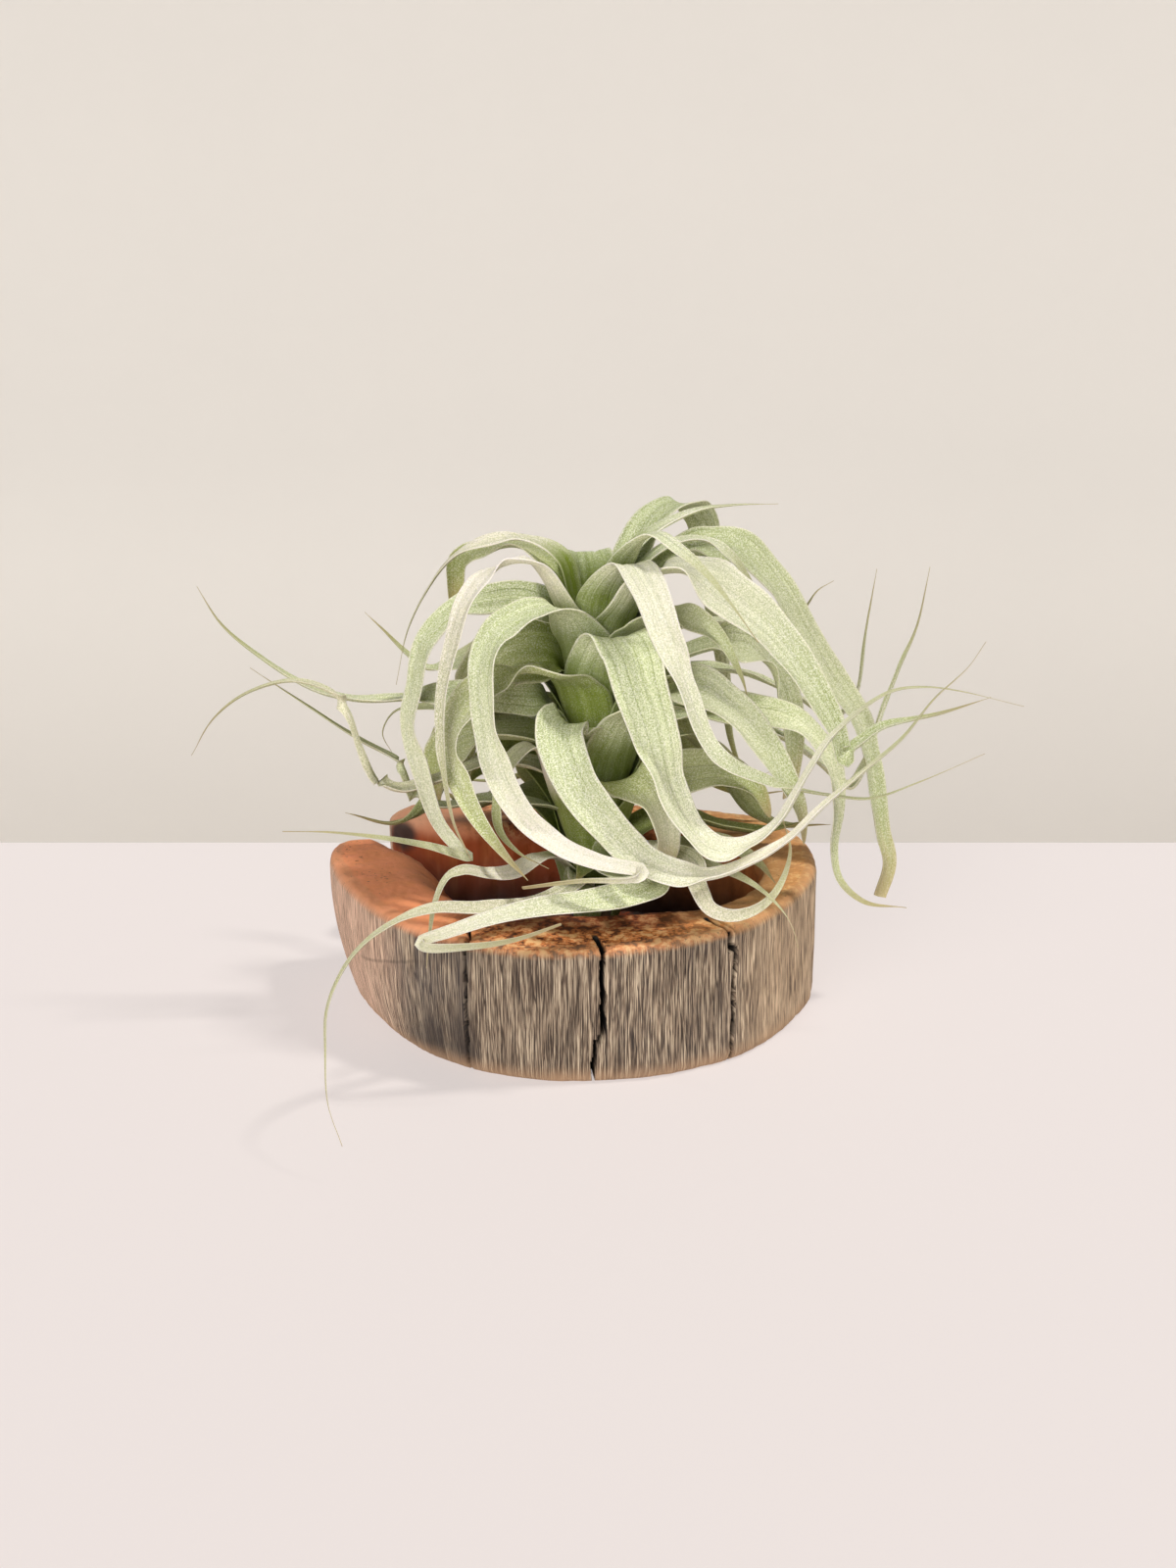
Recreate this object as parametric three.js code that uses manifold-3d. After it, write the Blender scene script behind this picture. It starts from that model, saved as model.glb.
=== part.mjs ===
// A rosette of strap leaves around a short stem, resting in a hollowed half-moon slice of log.
// Millimetres. Z is up and the slab stands on Z = 0. X runs along the slab, and the notch that leads
// into its hollow is on the -X side. Y runs from the slab's curved face to its back.
import * as THREE from 'three';
import Module from 'manifold-3d';

// Slab.
const SLAB_HEIGHT = 44;
const SLAB_REACH = 78; // from the slab's middle to its right and left ends, at the top
const FOOT_PULL_X = 7.5; // how much further in the left end stands at the foot than at the top
const FOOT_CURVE = 2.4; // power that keeps the left end upright at first and draws it in low down
const FOOT_PULL_Y = 0.07; // share of the depth lost at the foot
const EDGE_RINGS = [ // height, inset
  [0, 2.5], [0.8, 1], [3, 0], [14, 0], [27, 0], [41, 0], [43.2, 1], [SLAB_HEIGHT, 2.5],
];
const OUTLINE_STATIONS = 92;
const FLOOR_HEIGHT = 14; // of the hollow
const FLOOR_OVALS = [[6, 5, 56, 43], [-36, 32, 16.5, 12]]; // centre x and y, radii: the hollow, the notch
const FLOOR_SIDES = 40;
const CRACK_WIDTH = 1.6;
const CRACK_DEPTH = 10;
const CRACK_LEAD = 2; // how far outside the curved face a crack's wedge starts
const CRACKS = [[-31, -59.5], [9, -66], [48, -47.5]]; // where each crack meets the curved face

// Stem.
const AXIS_X = 7;
const STEM_FOOT = FLOOR_HEIGHT + 0.3;
const STEM_TOP = 132;
const STEM_RADIUS_LOW = 6.5;
const STEM_RADIUS_HIGH = 3;
const STEM_SIDES = 20;
const STEM_TIP_RADIUS = 1.8;
const ROOT_PROFILE = [[0, STEM_FOOT], [11, STEM_FOOT], [9, 17.5], [6.6, 22.5]]; // radius, height
const STEM_RINGS = [40, 70, 100, 130]; // heights above the root

// Leaves.
const FIRST_LEAF_HEIGHT = 124;
const LEAF_STEP = 2; // each leaf leaves the stem this much lower than the one before
const SHEATH_SLOPE = 0.38; // how far a sheath leans out for each millimetre it rises
const SHEATH_GAP = 0.35;
const SHEATH_THICKNESS = 0.45;
const BLADE_THICKNESS = 1.2;
const TIP_THINNING = 0.84;
const SHEATH_LENGTH = 1.07; // along the leaning sheath, for each millimetre of its rise
const FOLD_LENGTH = 8; // where a sheath folds over into its blade
const FOLD_START = 0.85; // share of the sheath below the fold
const FOLD_TAIL = 4; // how far the fold runs on into the blade
const BASE_SHARE = 0.55; // width at the foot of a leaf, as a share of its blade's width
const TIP_WIDTH = 0.8;
const LEAST_REACH = 3; // least distance from the stem's axis that a sheath wraps at
const WIDEST_WRAP = THREE.MathUtils.degToRad(120);
const BLADE_CUP = THREE.MathUtils.degToRad(45);
const TIP_CUP = THREE.MathUtils.degToRad(65); // added to the cup of a blade by its tip
const SAMPLES = 24; // along a leaf, between two of its points
const STATION_LENGTH = 17;
const STATION_TURN = THREE.MathUtils.degToRad(30);
const TWIST_WEIGHT = 0.7;
const LOWER_SIDE = [-1, -1 / 3, 1 / 3, 1]; // places across a leaf, from edge to edge
const FACING = { // the directions a leaf's upper side can be told to face
  u: [0, 0, 1], d: [0, 0, -1], f: [0, -1, 0], b: [0, 1, 0], l: [-1, 0, 0], r: [1, 0, 0],
};

// The slab's plan at its top, anticlockwise from the tip of its front lobe.
const SLAB_PLAN = [
  [-77, 29], [-79, 18], [-75, 0], [-69, -15], [-62, -29], [-53, -42], [-42, -53], [-28, -61],
  [-12, -66], [5, -66], [21, -63], [37, -56], [52, -45], [64, -29], [72, -13], [77, 3], [78, 18],
  [76, 33], [71, 45], [61, 56], [45, 63], [26, 67], [6, 69], [-14, 71], [-34, 72], [-50, 71],
  [-59, 65], [-63, 56], [-60, 51], [-50, 47], [-36, 44], [-18, 44], [2, 45], [22, 44], [40, 40],
  [53, 30], [59, 14], [58, -4], [51, -19], [38, -29], [20, -34], [0, -35], [-18, -32], [-33, -24],
  [-42, -11], [-46, 4], [-49, 18], [-56, 28], [-66, 33],
];

// Leaves from the top of the stem down: name, side of the stem in degrees, rise of the sheath,
// width, taper, and the points the blade passes, each with the way its upper side faces there.
const LEAVES = [
  ['top_tip', 20, 23, 9, 1.35, [[28, 7, 153, 'u'], [39, 11, 157, 'u'], [49, 14, 158, 'u'],
    [63, 17, 158, 'u']]],
  ['outer_thread', 150, 22, 8, 1.35, [[-15, 11, 148, 'u'], [-26, 14, 147, 'uf'], [-37, 17, 141, 'ul'],
    [-45, 18, 131, 'l'], [-52, 19, 117, 'l'], [-56, 19, 100, 'l']]],
  ['young_tip', 305, 25, 10, 1.35, [[23, -18, 155, 'u'], [32, -28, 152, 'uf'], [40, -36, 146, 'uf'],
    [47, -42, 138, 'uf'], [53, -45, 130, 'f']]],
  ['apex_back', 99, 20, 17, 1.35, [[4, 17, 142, 'u'], [3, 30, 136, 'bu'], [1, 46, 119, 'b'], [0, 58, 92, 'b'],
    [1, 66, 66, 'b'], [8, 80, 49, 'u'], [19, 96, 45, 'u']]],
  ['pale_strip', 6, 24, 10, 1.35, [[30, 3, 148, 'u'], [39, 5, 149, 'u'], [48, 6, 144, 'uf'],
    [56, 7, 133, 'rf'], [63, 6, 122, 'rf']]],
  ['crest', 296, 24, 20, 1.35, [[17, -19, 146, 'u'], [22, -30, 142, 'uf'], [27, -39, 131, 'f'],
    [32, -46, 117, 'fr'], [39, -50, 101, 'fr'], [45, -50, 95, 'fu'], [56, -43, 88, 'uf'], [66, -37, 83, 'u'],
    [76, -33, 80, 'u'], [89, -30, 78, 'u'], [103, -27, 82, 'u'], [124, -20, 89, 'u']]],
  ['olive_flag', 134, 24, 12, 0.8, [[-16, 19, 144, 'u'], [-29, 23, 142, 'uf'], [-36, 25, 139, 'f'],
    [-37, 26, 132, 'f'], [-37, 27, 124, 'f']]],
  ['back_top', 46, 24, 18, 1.35, [[25, 17, 153, 'u'], [33, 25, 156, 'u'], [40, 33, 150, 'bu'],
    [43, 38, 139, 'b'], [46, 46, 119, 'b'], [50, 52, 94, 'b'], [53, 57, 70, 'b'], [60, 67, 54, 'bu'],
    [72, 80, 53, 'u']]],
  ['rosy_arch', 217, 24, 14, 0.9, [[-12, -15, 146, 'u'], [-20, -18, 146, 'ul'], [-27, -23, 142, 'ulf'],
    [-32, -28, 134, 'lf'], [-35, -30, 123, 'lf'], [-38, -32, 109, 'lf'], [-38, -33, 94, 'lf'],
    [-35, -36, 73, 'lf'], [-30, -39, 62, 'f']]],
  ['right_sweep', 326, 24, 24, 1, [[25, -13, 142, 'u'], [34, -16, 144, 'u'], [45, -21, 138, 'uf'],
    [58, -25, 128, 'rf'], [70, -28, 112, 'rf'], [77, -28, 100, 'rf'], [80, -28, 91, 'rf'], [84, -27, 93, 'u'],
    [92, -24, 98, 'u'], [111, -18, 101, 'u'], [126, -14, 105, 'u']]],
  ['left_arch', 174, 22, 19, 1.1, [[-15, 0, 132, 'uf'], [-25, -3, 132, 'uf'], [-34, -5, 130, 'ulf'],
    [-43, -9, 122, 'lf'], [-47, -12, 108, 'lf'], [-49, -14, 96, 'lf'], [-46, -17, 83, 'f'],
    [-41, -22, 69, 'f'], [-34, -28, 61, 'fu'], [-31, -32, 60, 'fu'], [-42, -36, 65, 'fu'],
    [-53, -38, 68, 'fu'], [-71, -40, 71, 'fu'], [-85, -42, 72, 'fu']]],
  ['right_arch', 18, 22, 20, 0.75, [[27, 7, 140, 'u'], [33, 10, 144, 'u'], [42, 14, 145, 'uf'],
    [52, 18, 143, 'uf'], [62, 20, 133, 'urf'], [71, 21, 118, 'rf'], [81, 20, 102, 'rf'], [89, 17, 91, 'rf'],
    [93, 13, 79, 'rf'], [95, 9, 67, 'rf'], [97, 6, 55, 'rf'], [99, 3, 46, 'rf'], [96, 0, 36, 'rf']]],
  ['great_arch', 244, 22, 22, 1.1, [[-4, -20, 133, 'u'], [-14, -27, 133, 'ulf'], [-22, -32, 128, 'lf'],
    [-25, -37, 118, 'lf'], [-24, -40, 104, 'lf'], [-21, -43, 90, 'f'], [-14, -47, 79, 'f'],
    [-4, -52, 71, 'fu'], [7, -58, 68, 'fu'], [20, -63, 67, 'fu'], [16, -67, 67, 'fd'], [2, -66, 66, 'fd'],
    [-14, -64, 63, 'fd']]],
  ['rear_cascade', 88, 20, 24, 1.2, [[8, 17, 122, 'u'], [7, 30, 125, 'u'], [4, 47, 111, 'b'],
    [0, 58, 86, 'b'], [-4, 63, 66, 'b'], [-16, 66, 55, 'bu'], [-34, 68, 52, 'u'], [-54, 72, 58, 'u']]],
  ['shoulder_blade', 322, 24, 20, 1.35, [[21, -10, 126, 'u'], [29, -14, 130, 'u'], [36, -16, 129, 'uf'],
    [43, -17, 124, 'urf'], [50, -18, 113, 'rf'], [53, -19, 104, 'rf']]],
  ['far_tip_c', 42, 18, 13, 1.35, [[34, 21, 118, 'u'], [50, 35, 116, 'u'], [66, 48, 111, 'u'],
    [75, 50, 116, 'u'], [80, 51, 123, 'u'], [85, 52, 126, 'u']]],
  ['left_shoulder', 165, 21, 20, 1.35, [[-16, 4, 114, 'uf'], [-25, 8, 107, 'f'], [-30, 13, 95, 'lf'],
    [-33, 15, 79, 'lf'], [-34, 15, 60, 'lf']]],
  ['cascade', 281, 24, 23, 1.45, [[13, -23, 125, 'u'], [17, -31, 123, 'fu'], [20, -39, 115, 'f'],
    [24, -45, 103, 'f'], [27, -50, 89, 'fr'], [34, -53, 76, 'fru'], [42, -53, 70, 'uf'], [52, -51, 71, 'u'],
    [61, -49, 78, 'ul'], [69, -46, 92, 'ul'], [77, -41, 102, 'ul'], [92, -35, 112, 'u'], [103, -32, 113, 'u'],
    [114, -29, 111, 'u'], [134, -24, 105, 'u']]],
  ['rear_right', 66, 18, 22, 1.35, [[14, 17, 109, 'u'], [20, 31, 112, 'u'], [28, 44, 101, 'b'],
    [36, 52, 80, 'b'], [43, 53, 62, 'b'], [55, 50, 53, 'bu'], [72, 48, 55, 'u']]],
  ['far_left_tip', 128, 19, 13, 1.35, [[-9, 23, 113, 'uf'], [-24, 36, 109, 'f'], [-39, 45, 100, 'uf'],
    [-49, 49, 97, 'u'], [-56, 51, 102, 'u'], [-63, 53, 109, 'u'], [-69, 54, 115, 'u']]],
  ['inner_arch', 232, 24, 23, 0.85, [[-6, -16, 112, 'u'], [-15, -19, 114, 'ul'], [-23, -22, 111, 'ulf'],
    [-30, -25, 107, 'lf'], [-35, -27, 100, 'lf'], [-36, -28, 92, 'lf'], [-33, -31, 83, 'f'],
    [-28, -35, 74, 'f'], [-21, -41, 66, 'f'], [-13, -48, 59, 'f']]],
  ['bright_blade', 346, 24, 18, 1.35, [[32, -5, 114, 'u'], [42, -6, 118, 'u'], [51, -6, 119, 'uf'],
    [59, -5, 113, 'ur'], [65, -4, 101, 'rf'], [67, -3, 84, 'rf'], [66, -3, 70, 'rf']]],
  ['rear_left', 146, 22, 21, 1.35, [[-17, 18, 104, 'u'], [-31, 27, 96, 'ulb'], [-41, 31, 76, 'lb'],
    [-46, 29, 58, 'lb'], [-58, 25, 51, 'ul'], [-74, 22, 56, 'u']]],
  ['far_tip_a', 33, 21, 14, 1.35, [[33, 19, 104, 'u'], [52, 29, 101, 'u'], [71, 34, 92, 'u'],
    [84, 35, 84, 'u'], [91, 33, 90, 'ul'], [94, 31, 116, 'l'], [96, 29, 135, 'l']]],
  ['left_whip_a', 192, 23, 12, 1.35, [[-22, -5, 103, 'f'], [-38, -4, 103, 'uf'], [-54, -3, 101, 'u'],
    [-66, -4, 101, 'u'], [-80, -5, 105, 'u'], [-99, -5, 118, 'u'], [-107, -5, 126, 'u'],
    [-113, -5, 137, 'u']]],
  ['right_hook', 4, 17, 18, 1, [[31, -1, 98, 'u'], [49, -11, 100, 'uf'], [62, -14, 99, 'uf'],
    [71, -17, 95, 'urf'], [78, -19, 85, 'rf'], [80, -20, 72, 'rf'], [79, -21, 59, 'rf'], [81, -23, 50, 'rf'],
    [89, -24, 43, 'rf'], [102, -24, 41, 'uf']]],
  ['rear_bow', 102, 16, 22, 1.2, [[4, 17, 92, 'u'], [-1, 28, 94, 'u'], [-8, 38, 84, 'b'], [-12, 46, 64, 'b'],
    [-5, 51, 54, 'bu'], [9, 57, 51, 'u'], [24, 69, 56, 'u'], [36, 83, 70, 'u']]],
  ['bow', 246, 22, 20, 1.2, [[0, -20, 96, 'u'], [-3, -26, 100, 'fu'], [-3, -36, 97, 'f'], [2, -44, 87, 'f'],
    [13, -52, 75, 'f'], [20, -55, 68, 'fu'], [30, -57, 64, 'uf'], [40, -57, 63, 'u'], [52, -55, 67, 'u'],
    [62, -52, 72, 'ul'], [76, -47, 84, 'ul'], [85, -44, 91, 'ul'], [96, -41, 100, 'ul'],
    [105, -38, 111, 'ul'], [115, -35, 120, 'ul'], [120, -33, 127, 'ul']]],
  ['far_tip_b', 24, 17, 17, 1.35, [[31, 12, 91, 'u'], [54, 18, 88, 'u'], [75, 20, 76, 'u'], [89, 20, 65, 'u'],
    [94, 20, 72, 'ul'], [98, 19, 88, 'ul'], [103, 18, 105, 'ul'], [108, 18, 119, 'l'],
    [111, 18, 138, 'l']]],
  ['left_loop', 152, 20, 9, 1.35, [[-9, 13, 92, 'uf'], [-30, 19, 93, 'f'], [-48, 21, 92, 'uf'],
    [-57, 22, 90, 'u'], [-61, 22, 83, 'l'], [-58, 22, 76, 'ld']]],
  ['right_fan', 302, 24, 23, 0.6, [[20, -19, 102, 'u'], [29, -23, 108, 'u'], [37, -28, 111, 'uf'],
    [46, -31, 106, 'urf'], [55, -33, 97, 'rf'], [62, -34, 86, 'rf'], [67, -34, 76, 'rf'],
    [69, -34, 65, 'rf']]],
  ['wide_shade', 176, 24, 21, 0.8, [[-23, 2, 88, 'u'], [-35, 4, 85, 'ulf'], [-42, 7, 74, 'lf'],
    [-43, 8, 63, 'lf']]],
  ['rear_right_low', 34, 18, 19, 1.35, [[21, 10, 82, 'u'], [34, 17, 84, 'u'], [46, 24, 72, 'br'],
    [56, 26, 57, 'br'], [66, 24, 51, 'ubr'], [83, 19, 53, 'u']]],
  ['left_whip_b', 188, 18, 13, 1.35, [[-25, -7, 82, 'u'], [-42, -11, 77, 'u'], [-53, -13, 75, 'u'],
    [-59, -13, 78, 'ul'], [-64, -13, 89, 'l'], [-69, -14, 103, 'ul'], [-82, -15, 110, 'u'],
    [-97, -16, 107, 'u'], [-108, -17, 99, 'u'], [-115, -18, 88, 'ul']]],
  ['centre_hook', 295, 19, 19, 0.7, [[14, -18, 79, 'u'], [20, -25, 81, 'uf'], [25, -30, 75, 'rf'],
    [27, -33, 67, 'rf'], [28, -36, 58, 'f']]],
  ['rear_low', 74, 18, 20, 1.35, [[12, 16, 76, 'u'], [15, 29, 79, 'u'], [19, 39, 68, 'b'], [22, 47, 56, 'b'],
    [28, 56, 51, 'bu'], [39, 71, 55, 'u']]],
  ['left_whip_c', 188, 12, 11, 1.35, [[-26, -2, 68, 'u'], [-41, -2, 66, 'u'], [-49, -2, 70, 'ul'],
    [-53, -3, 80, 'ul'], [-66, -3, 88, 'u'], [-81, -4, 99, 'u'], [-98, -6, 112, 'u']]],
  ['low_right', 345, 20, 17, 0.9, [[25, -5, 74, 'u'], [36, -9, 79, 'uf'], [46, -10, 80, 'uf'],
    [55, -10, 75, 'urf'], [61, -9, 65, 'rf']]],
  ['small_cup', 232, 24, 14, 1.35, [[-12, -18, 90, 'u'], [-19, -23, 86, 'ulf'], [-22, -26, 77, 'lf'],
    [-22, -30, 69, 'f'], [-16, -35, 63, 'f'], [-7, -41, 60, 'uf']]],
  ['swag', 306, 9, 12, 1, [[27, -20, 58, 'u'], [36, -35, 59, 'uf'], [37, -47, 56, 'uf'], [41, -53, 52, 'f'],
    [47, -55, 51, 'f'], [55, -53, 53, 'f'], [61, -48, 58, 'f'], [64, -44, 67, 'f'], [62, -40, 75, 'f']]],
  ['low_left', 140, 24, 15, 0.9, [[-16, 18, 76, 'u'], [-28, 25, 72, 'ulf'], [-39, 28, 62, 'lf']]],
  ['right_base', 26, 10, 16, 1.35, [[22, 7, 56, 'u'], [34, 12, 58, 'u'], [48, 16, 53, 'u'], [62, 18, 51, 'u'],
    [77, 15, 56, 'u']]],
  ['front_blade', 284, 12, 17, 0.8, [[14, -30, 54, 'u'], [22, -44, 57, 'uf'], [23, -54, 59, 'uf'],
    [9, -62, 58, 'fu'], [-7, -67, 58, 'fu'], [-20, -69, 56, 'fu'], [-34, -71, 52, 'fu'], [-43, -72, 49, 'fu'],
    [-40, -75, 49, 'f'], [-26, -76, 50, 'f'], [-15, -76, 52, 'f'], [-3, -75, 56, 'f']]],
  ['rear_shelf', 138, 22, 18, 1.35, [[-16, 20, 64, 'u'], [-26, 30, 57, 'u'], [-35, 41, 51, 'u'],
    [-44, 54, 53, 'u']]],
  ['low_sheath', 266, 10, 12, 0.9, [[5, -18, 52, 'u'], [3, -25, 53, 'uf'], [1, -31, 52, 'uf']]],
  ['right_thread', 322, 20, 8, 1.35, [[32, -21, 56, 'u'], [49, -39, 57, 'uf'], [59, -56, 55, 'uf'],
    [63, -63, 51, 'rf'], [65, -66, 45, 'rf']]],
  ['rear_base', 100, 14, 16, 1.35, [[4, 16, 50, 'u'], [3, 28, 53, 'u'], [3, 42, 51, 'u'], [3, 58, 50, 'u'],
    [-1, 74, 47, 'u']]],
  ['hook', 226, 20, 10, 1.35, [[-9, -21, 56, 'u'], [-18, -37, 57, 'uf'], [-25, -46, 60, 'uf'],
    [-32, -54, 64, 'uf'], [-36, -58, 63, 'lf'], [-39, -61, 57, 'lf'], [-41, -63, 46, 'lf'],
    [-42, -64, 38, 'lf']]],
  ['recess_leaf', 344, 24, 14, 0.9, [[32, -6, 54, 'u'], [47, -12, 57, 'uf'], [57, -17, 53, 'uf'],
    [62, -21, 48, 'uf']]],
  ['overhang', 250, 20, 11, 1.35, [[2, -24, 49, 'u'], [-10, -44, 50, 'uf'], [-26, -58, 54, 'uf'],
    [-40, -69, 58, 'uf'], [-50, -78, 57, 'ulf'], [-58, -88, 54, 'lf'], [-63, -96, 49, 'lf'],
    [-66, -103, 42, 'lf'], [-66, -109, 34, 'lf'], [-65, -117, 21, 'lf'], [-61, -122, 11, 'lf']]],
];

const COLOURS = {
  wood: [0x8c7460, 0.85],
  stem: [0x5c5238, 0.9],
  silver: [0xb9c7a0, 0.7],
  green: [0x8fa877, 0.65],
  rosy: [0xc0b6a4, 0.75],
};
const ROSY = ['rosy_arch', 'outer_thread', 'left_whip_b', 'hook', 'overhang', 'swag', 'recess_leaf'];
const GREEN = ['olive_flag', 'inner_arch', 'wide_shade', 'centre_hook', 'low_left', 'small_cup',
  'left_shoulder', 'low_right', 'low_sheath', 'rear_shelf', 'rear_base', 'rear_low', 'right_base'];

const wasm = await Module();
wasm.setup();

function material(slot) {
  const [color, roughness] = COLOURS[slot];
  return new THREE.MeshStandardMaterial({ color, roughness, metalness: 0 });
}

function smooth(value) {
  const t = THREE.MathUtils.clamp(value, 0, 1);
  return t * t * (3 - 2 * t);
}

// A closed surface through equal rings of points, with a flat cap on each end. Each ring runs
// anticlockwise as seen from the last ring.
function loft(rings, capTriangles) {
  const size = rings[0].length;
  const faces = [];
  for (let k = 0; k + 1 < rings.length; k += 1) {
    for (let j = 0; j < size; j += 1) {
      const a = k * size + j;
      const b = k * size + ((j + 1) % size);
      faces.push(a, b, b + size, a, b + size, a + size);
    }
  }
  const last = (rings.length - 1) * size;
  for (const [a, b, c] of capTriangles) {
    faces.push(a, c, b, last + a, last + b, last + c);
  }
  const geometry = new THREE.BufferGeometry();
  const flat = rings.flat().flatMap((point) => point.toArray());
  geometry.setAttribute('position', new THREE.Float32BufferAttribute(flat, 3));
  geometry.setIndex(faces);
  return geometry;
}

function fanTriangles(size) {
  return Array.from({ length: size - 2 }, (_, k) => [0, k + 1, k + 2]);
}

function solidOf(geometry) {
  return new wasm.Manifold(new wasm.Mesh({
    numProp: 3,
    vertProperties: new Float32Array(geometry.getAttribute('position').array),
    triVerts: new Uint32Array(geometry.index.array),
  }));
}

function geometryOf(solid) {
  const mesh = solid.getMesh();
  const geometry = new THREE.BufferGeometry();
  geometry.setAttribute('position', new THREE.BufferAttribute(mesh.vertProperties, 3));
  geometry.setIndex(new THREE.BufferAttribute(mesh.triVerts, 1));
  return geometry;
}

function meshOf(name, geometry, slot) {
  const flat = geometry.toNonIndexed();
  flat.computeVertexNormals();
  const mesh = new THREE.Mesh(flat, material(slot));
  mesh.name = name;
  return mesh;
}

// The slab's outline, inset by some millimetres, where its sides have drawn in at a height.
function slabRing(curve, height, inset) {
  const foot = 1 - height / SLAB_HEIGHT;
  return Array.from({ length: OUTLINE_STATIONS }, (_, k) => {
    const u = k / OUTLINE_STATIONS;
    const point = curve.getPoint(u);
    const along = curve.getTangent(u);
    const x = point.x - along.y * inset;
    const y = point.y + along.x * inset;
    const drawn = FOOT_PULL_X * foot ** FOOT_CURVE * (SLAB_REACH - x) / (2 * SLAB_REACH);
    return new THREE.Vector3(x + drawn, y * (1 - FOOT_PULL_Y * foot), height);
  });
}

function slabBar() {
  const plan = SLAB_PLAN.map(([x, y]) => new THREE.Vector3(x, y, 0));
  const curve = new THREE.CatmullRomCurve3(plan, true);
  const rings = EDGE_RINGS.map(([height, inset]) => slabRing(curve, height, inset));
  const face = rings.at(-1).map((point) => new THREE.Vector2(point.x, point.y));
  return loft(rings, THREE.ShapeUtils.triangulateShape(face, []));
}

function floorOval([x, y, radiusX, radiusY]) {
  const ring = (height) => Array.from({ length: FLOOR_SIDES }, (_, k) => {
    const angle = 2 * Math.PI * k / FLOOR_SIDES;
    return new THREE.Vector3(x + radiusX * Math.cos(angle), y + radiusY * Math.sin(angle), height);
  });
  return loft([ring(0), ring(FLOOR_HEIGHT)], fanTriangles(FLOOR_SIDES));
}

// A wedge as tall as the slab, wide outside the curved face and closing towards the slab's middle.
function crackWedge([x, y]) {
  const inward = new THREE.Vector2(-x, -y).normalize();
  const side = new THREE.Vector2(-inward.y, inward.x).multiplyScalar(CRACK_WIDTH / 2);
  const mouth = new THREE.Vector2(x, y).addScaledVector(inward, -CRACK_LEAD);
  const end = new THREE.Vector2(x, y).addScaledVector(inward, CRACK_DEPTH);
  const plan = [mouth.clone().add(side), mouth.clone().sub(side), end];
  const ring = (height) => plan.map((point) => new THREE.Vector3(point.x, point.y, height));
  return loft([ring(-1), ring(SLAB_HEIGHT + 1)], fanTriangles(plan.length));
}

function slab() {
  let solid = solidOf(slabBar());
  for (const oval of FLOOR_OVALS) solid = solid.add(solidOf(floorOval(oval)));
  for (const crack of CRACKS) solid = solid.subtract(solidOf(crackWedge(crack)));
  return meshOf('wood_slab', geometryOf(solid), 'wood');
}

function stemRadius(height) {
  const share = (height - FLOOR_HEIGHT) / (STEM_TOP - FLOOR_HEIGHT);
  return THREE.MathUtils.lerp(STEM_RADIUS_LOW, STEM_RADIUS_HIGH, share);
}

function stem() {
  const profile = ROOT_PROFILE.map(([radius, height]) => new THREE.Vector2(radius, height));
  for (const height of STEM_RINGS) profile.push(new THREE.Vector2(stemRadius(height), height));
  profile.push(new THREE.Vector2(STEM_TIP_RADIUS, STEM_TOP));
  profile.push(new THREE.Vector2(0, STEM_TOP));
  const geometry = new THREE.LatheGeometry(profile, STEM_SIDES);
  geometry.rotateX(Math.PI / 2);
  geometry.translate(AXIS_X, 0, 0);
  return meshOf('stem', geometry, 'stem');
}

function facing(letters) {
  const sum = new THREE.Vector3();
  for (const letter of letters) sum.add(new THREE.Vector3(...FACING[letter]));
  return sum.normalize();
}

// The points a leaf passes and its facing at each: three up its sheath, then those of its blade.
function leafRoute(index, [, side, rise, , , blade]) {
  const angle = THREE.MathUtils.degToRad(side);
  const out = new THREE.Vector3(Math.cos(angle), Math.sin(angle), 0);
  const height = FIRST_LEAF_HEIGHT - LEAF_STEP * index;
  const start = stemRadius(height) + SHEATH_GAP + SHEATH_THICKNESS;
  const points = [];
  const facings = [];
  for (const share of [0, 0.5, 1]) {
    const reach = start + SHEATH_SLOPE * rise * share;
    points.push(new THREE.Vector3(AXIS_X, 0, height + rise * share).addScaledVector(out, reach));
    facings.push(out.clone().negate());
  }
  for (const [x, y, z, letters] of blade) {
    points.push(new THREE.Vector3(x, y, z));
    facings.push(facing(letters));
  }
  return { points, facings };
}

// Closely spaced samples along a leaf: place, forward and upper directions, and running length.
function leafSamples({ points, facings }) {
  const curve = new THREE.CatmullRomCurve3(points);
  const spans = points.length - 1;
  const samples = Array.from({ length: spans * SAMPLES + 1 }, (_, k) => {
    const span = Math.min(Math.floor(k / SAMPLES), spans - 1);
    const share = smooth(k / SAMPLES - span);
    const wanted = facings[span].clone().lerp(facings[span + 1], share);
    return { place: curve.getPoint(k / (spans * SAMPLES)), wanted };
  });
  samples.forEach((sample, k) => {
    const before = samples[Math.max(k - 1, 0)].place;
    const after = samples[Math.min(k + 1, samples.length - 1)].place;
    sample.forward = after.clone().sub(before).normalize();
    const along = sample.wanted.dot(sample.forward);
    sample.upper = sample.wanted.clone().addScaledVector(sample.forward, -along).normalize();
    sample.length = k === 0 ? 0 : samples[k - 1].length + sample.place.distanceTo(samples[k - 1].place);
  });
  return samples;
}

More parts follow.
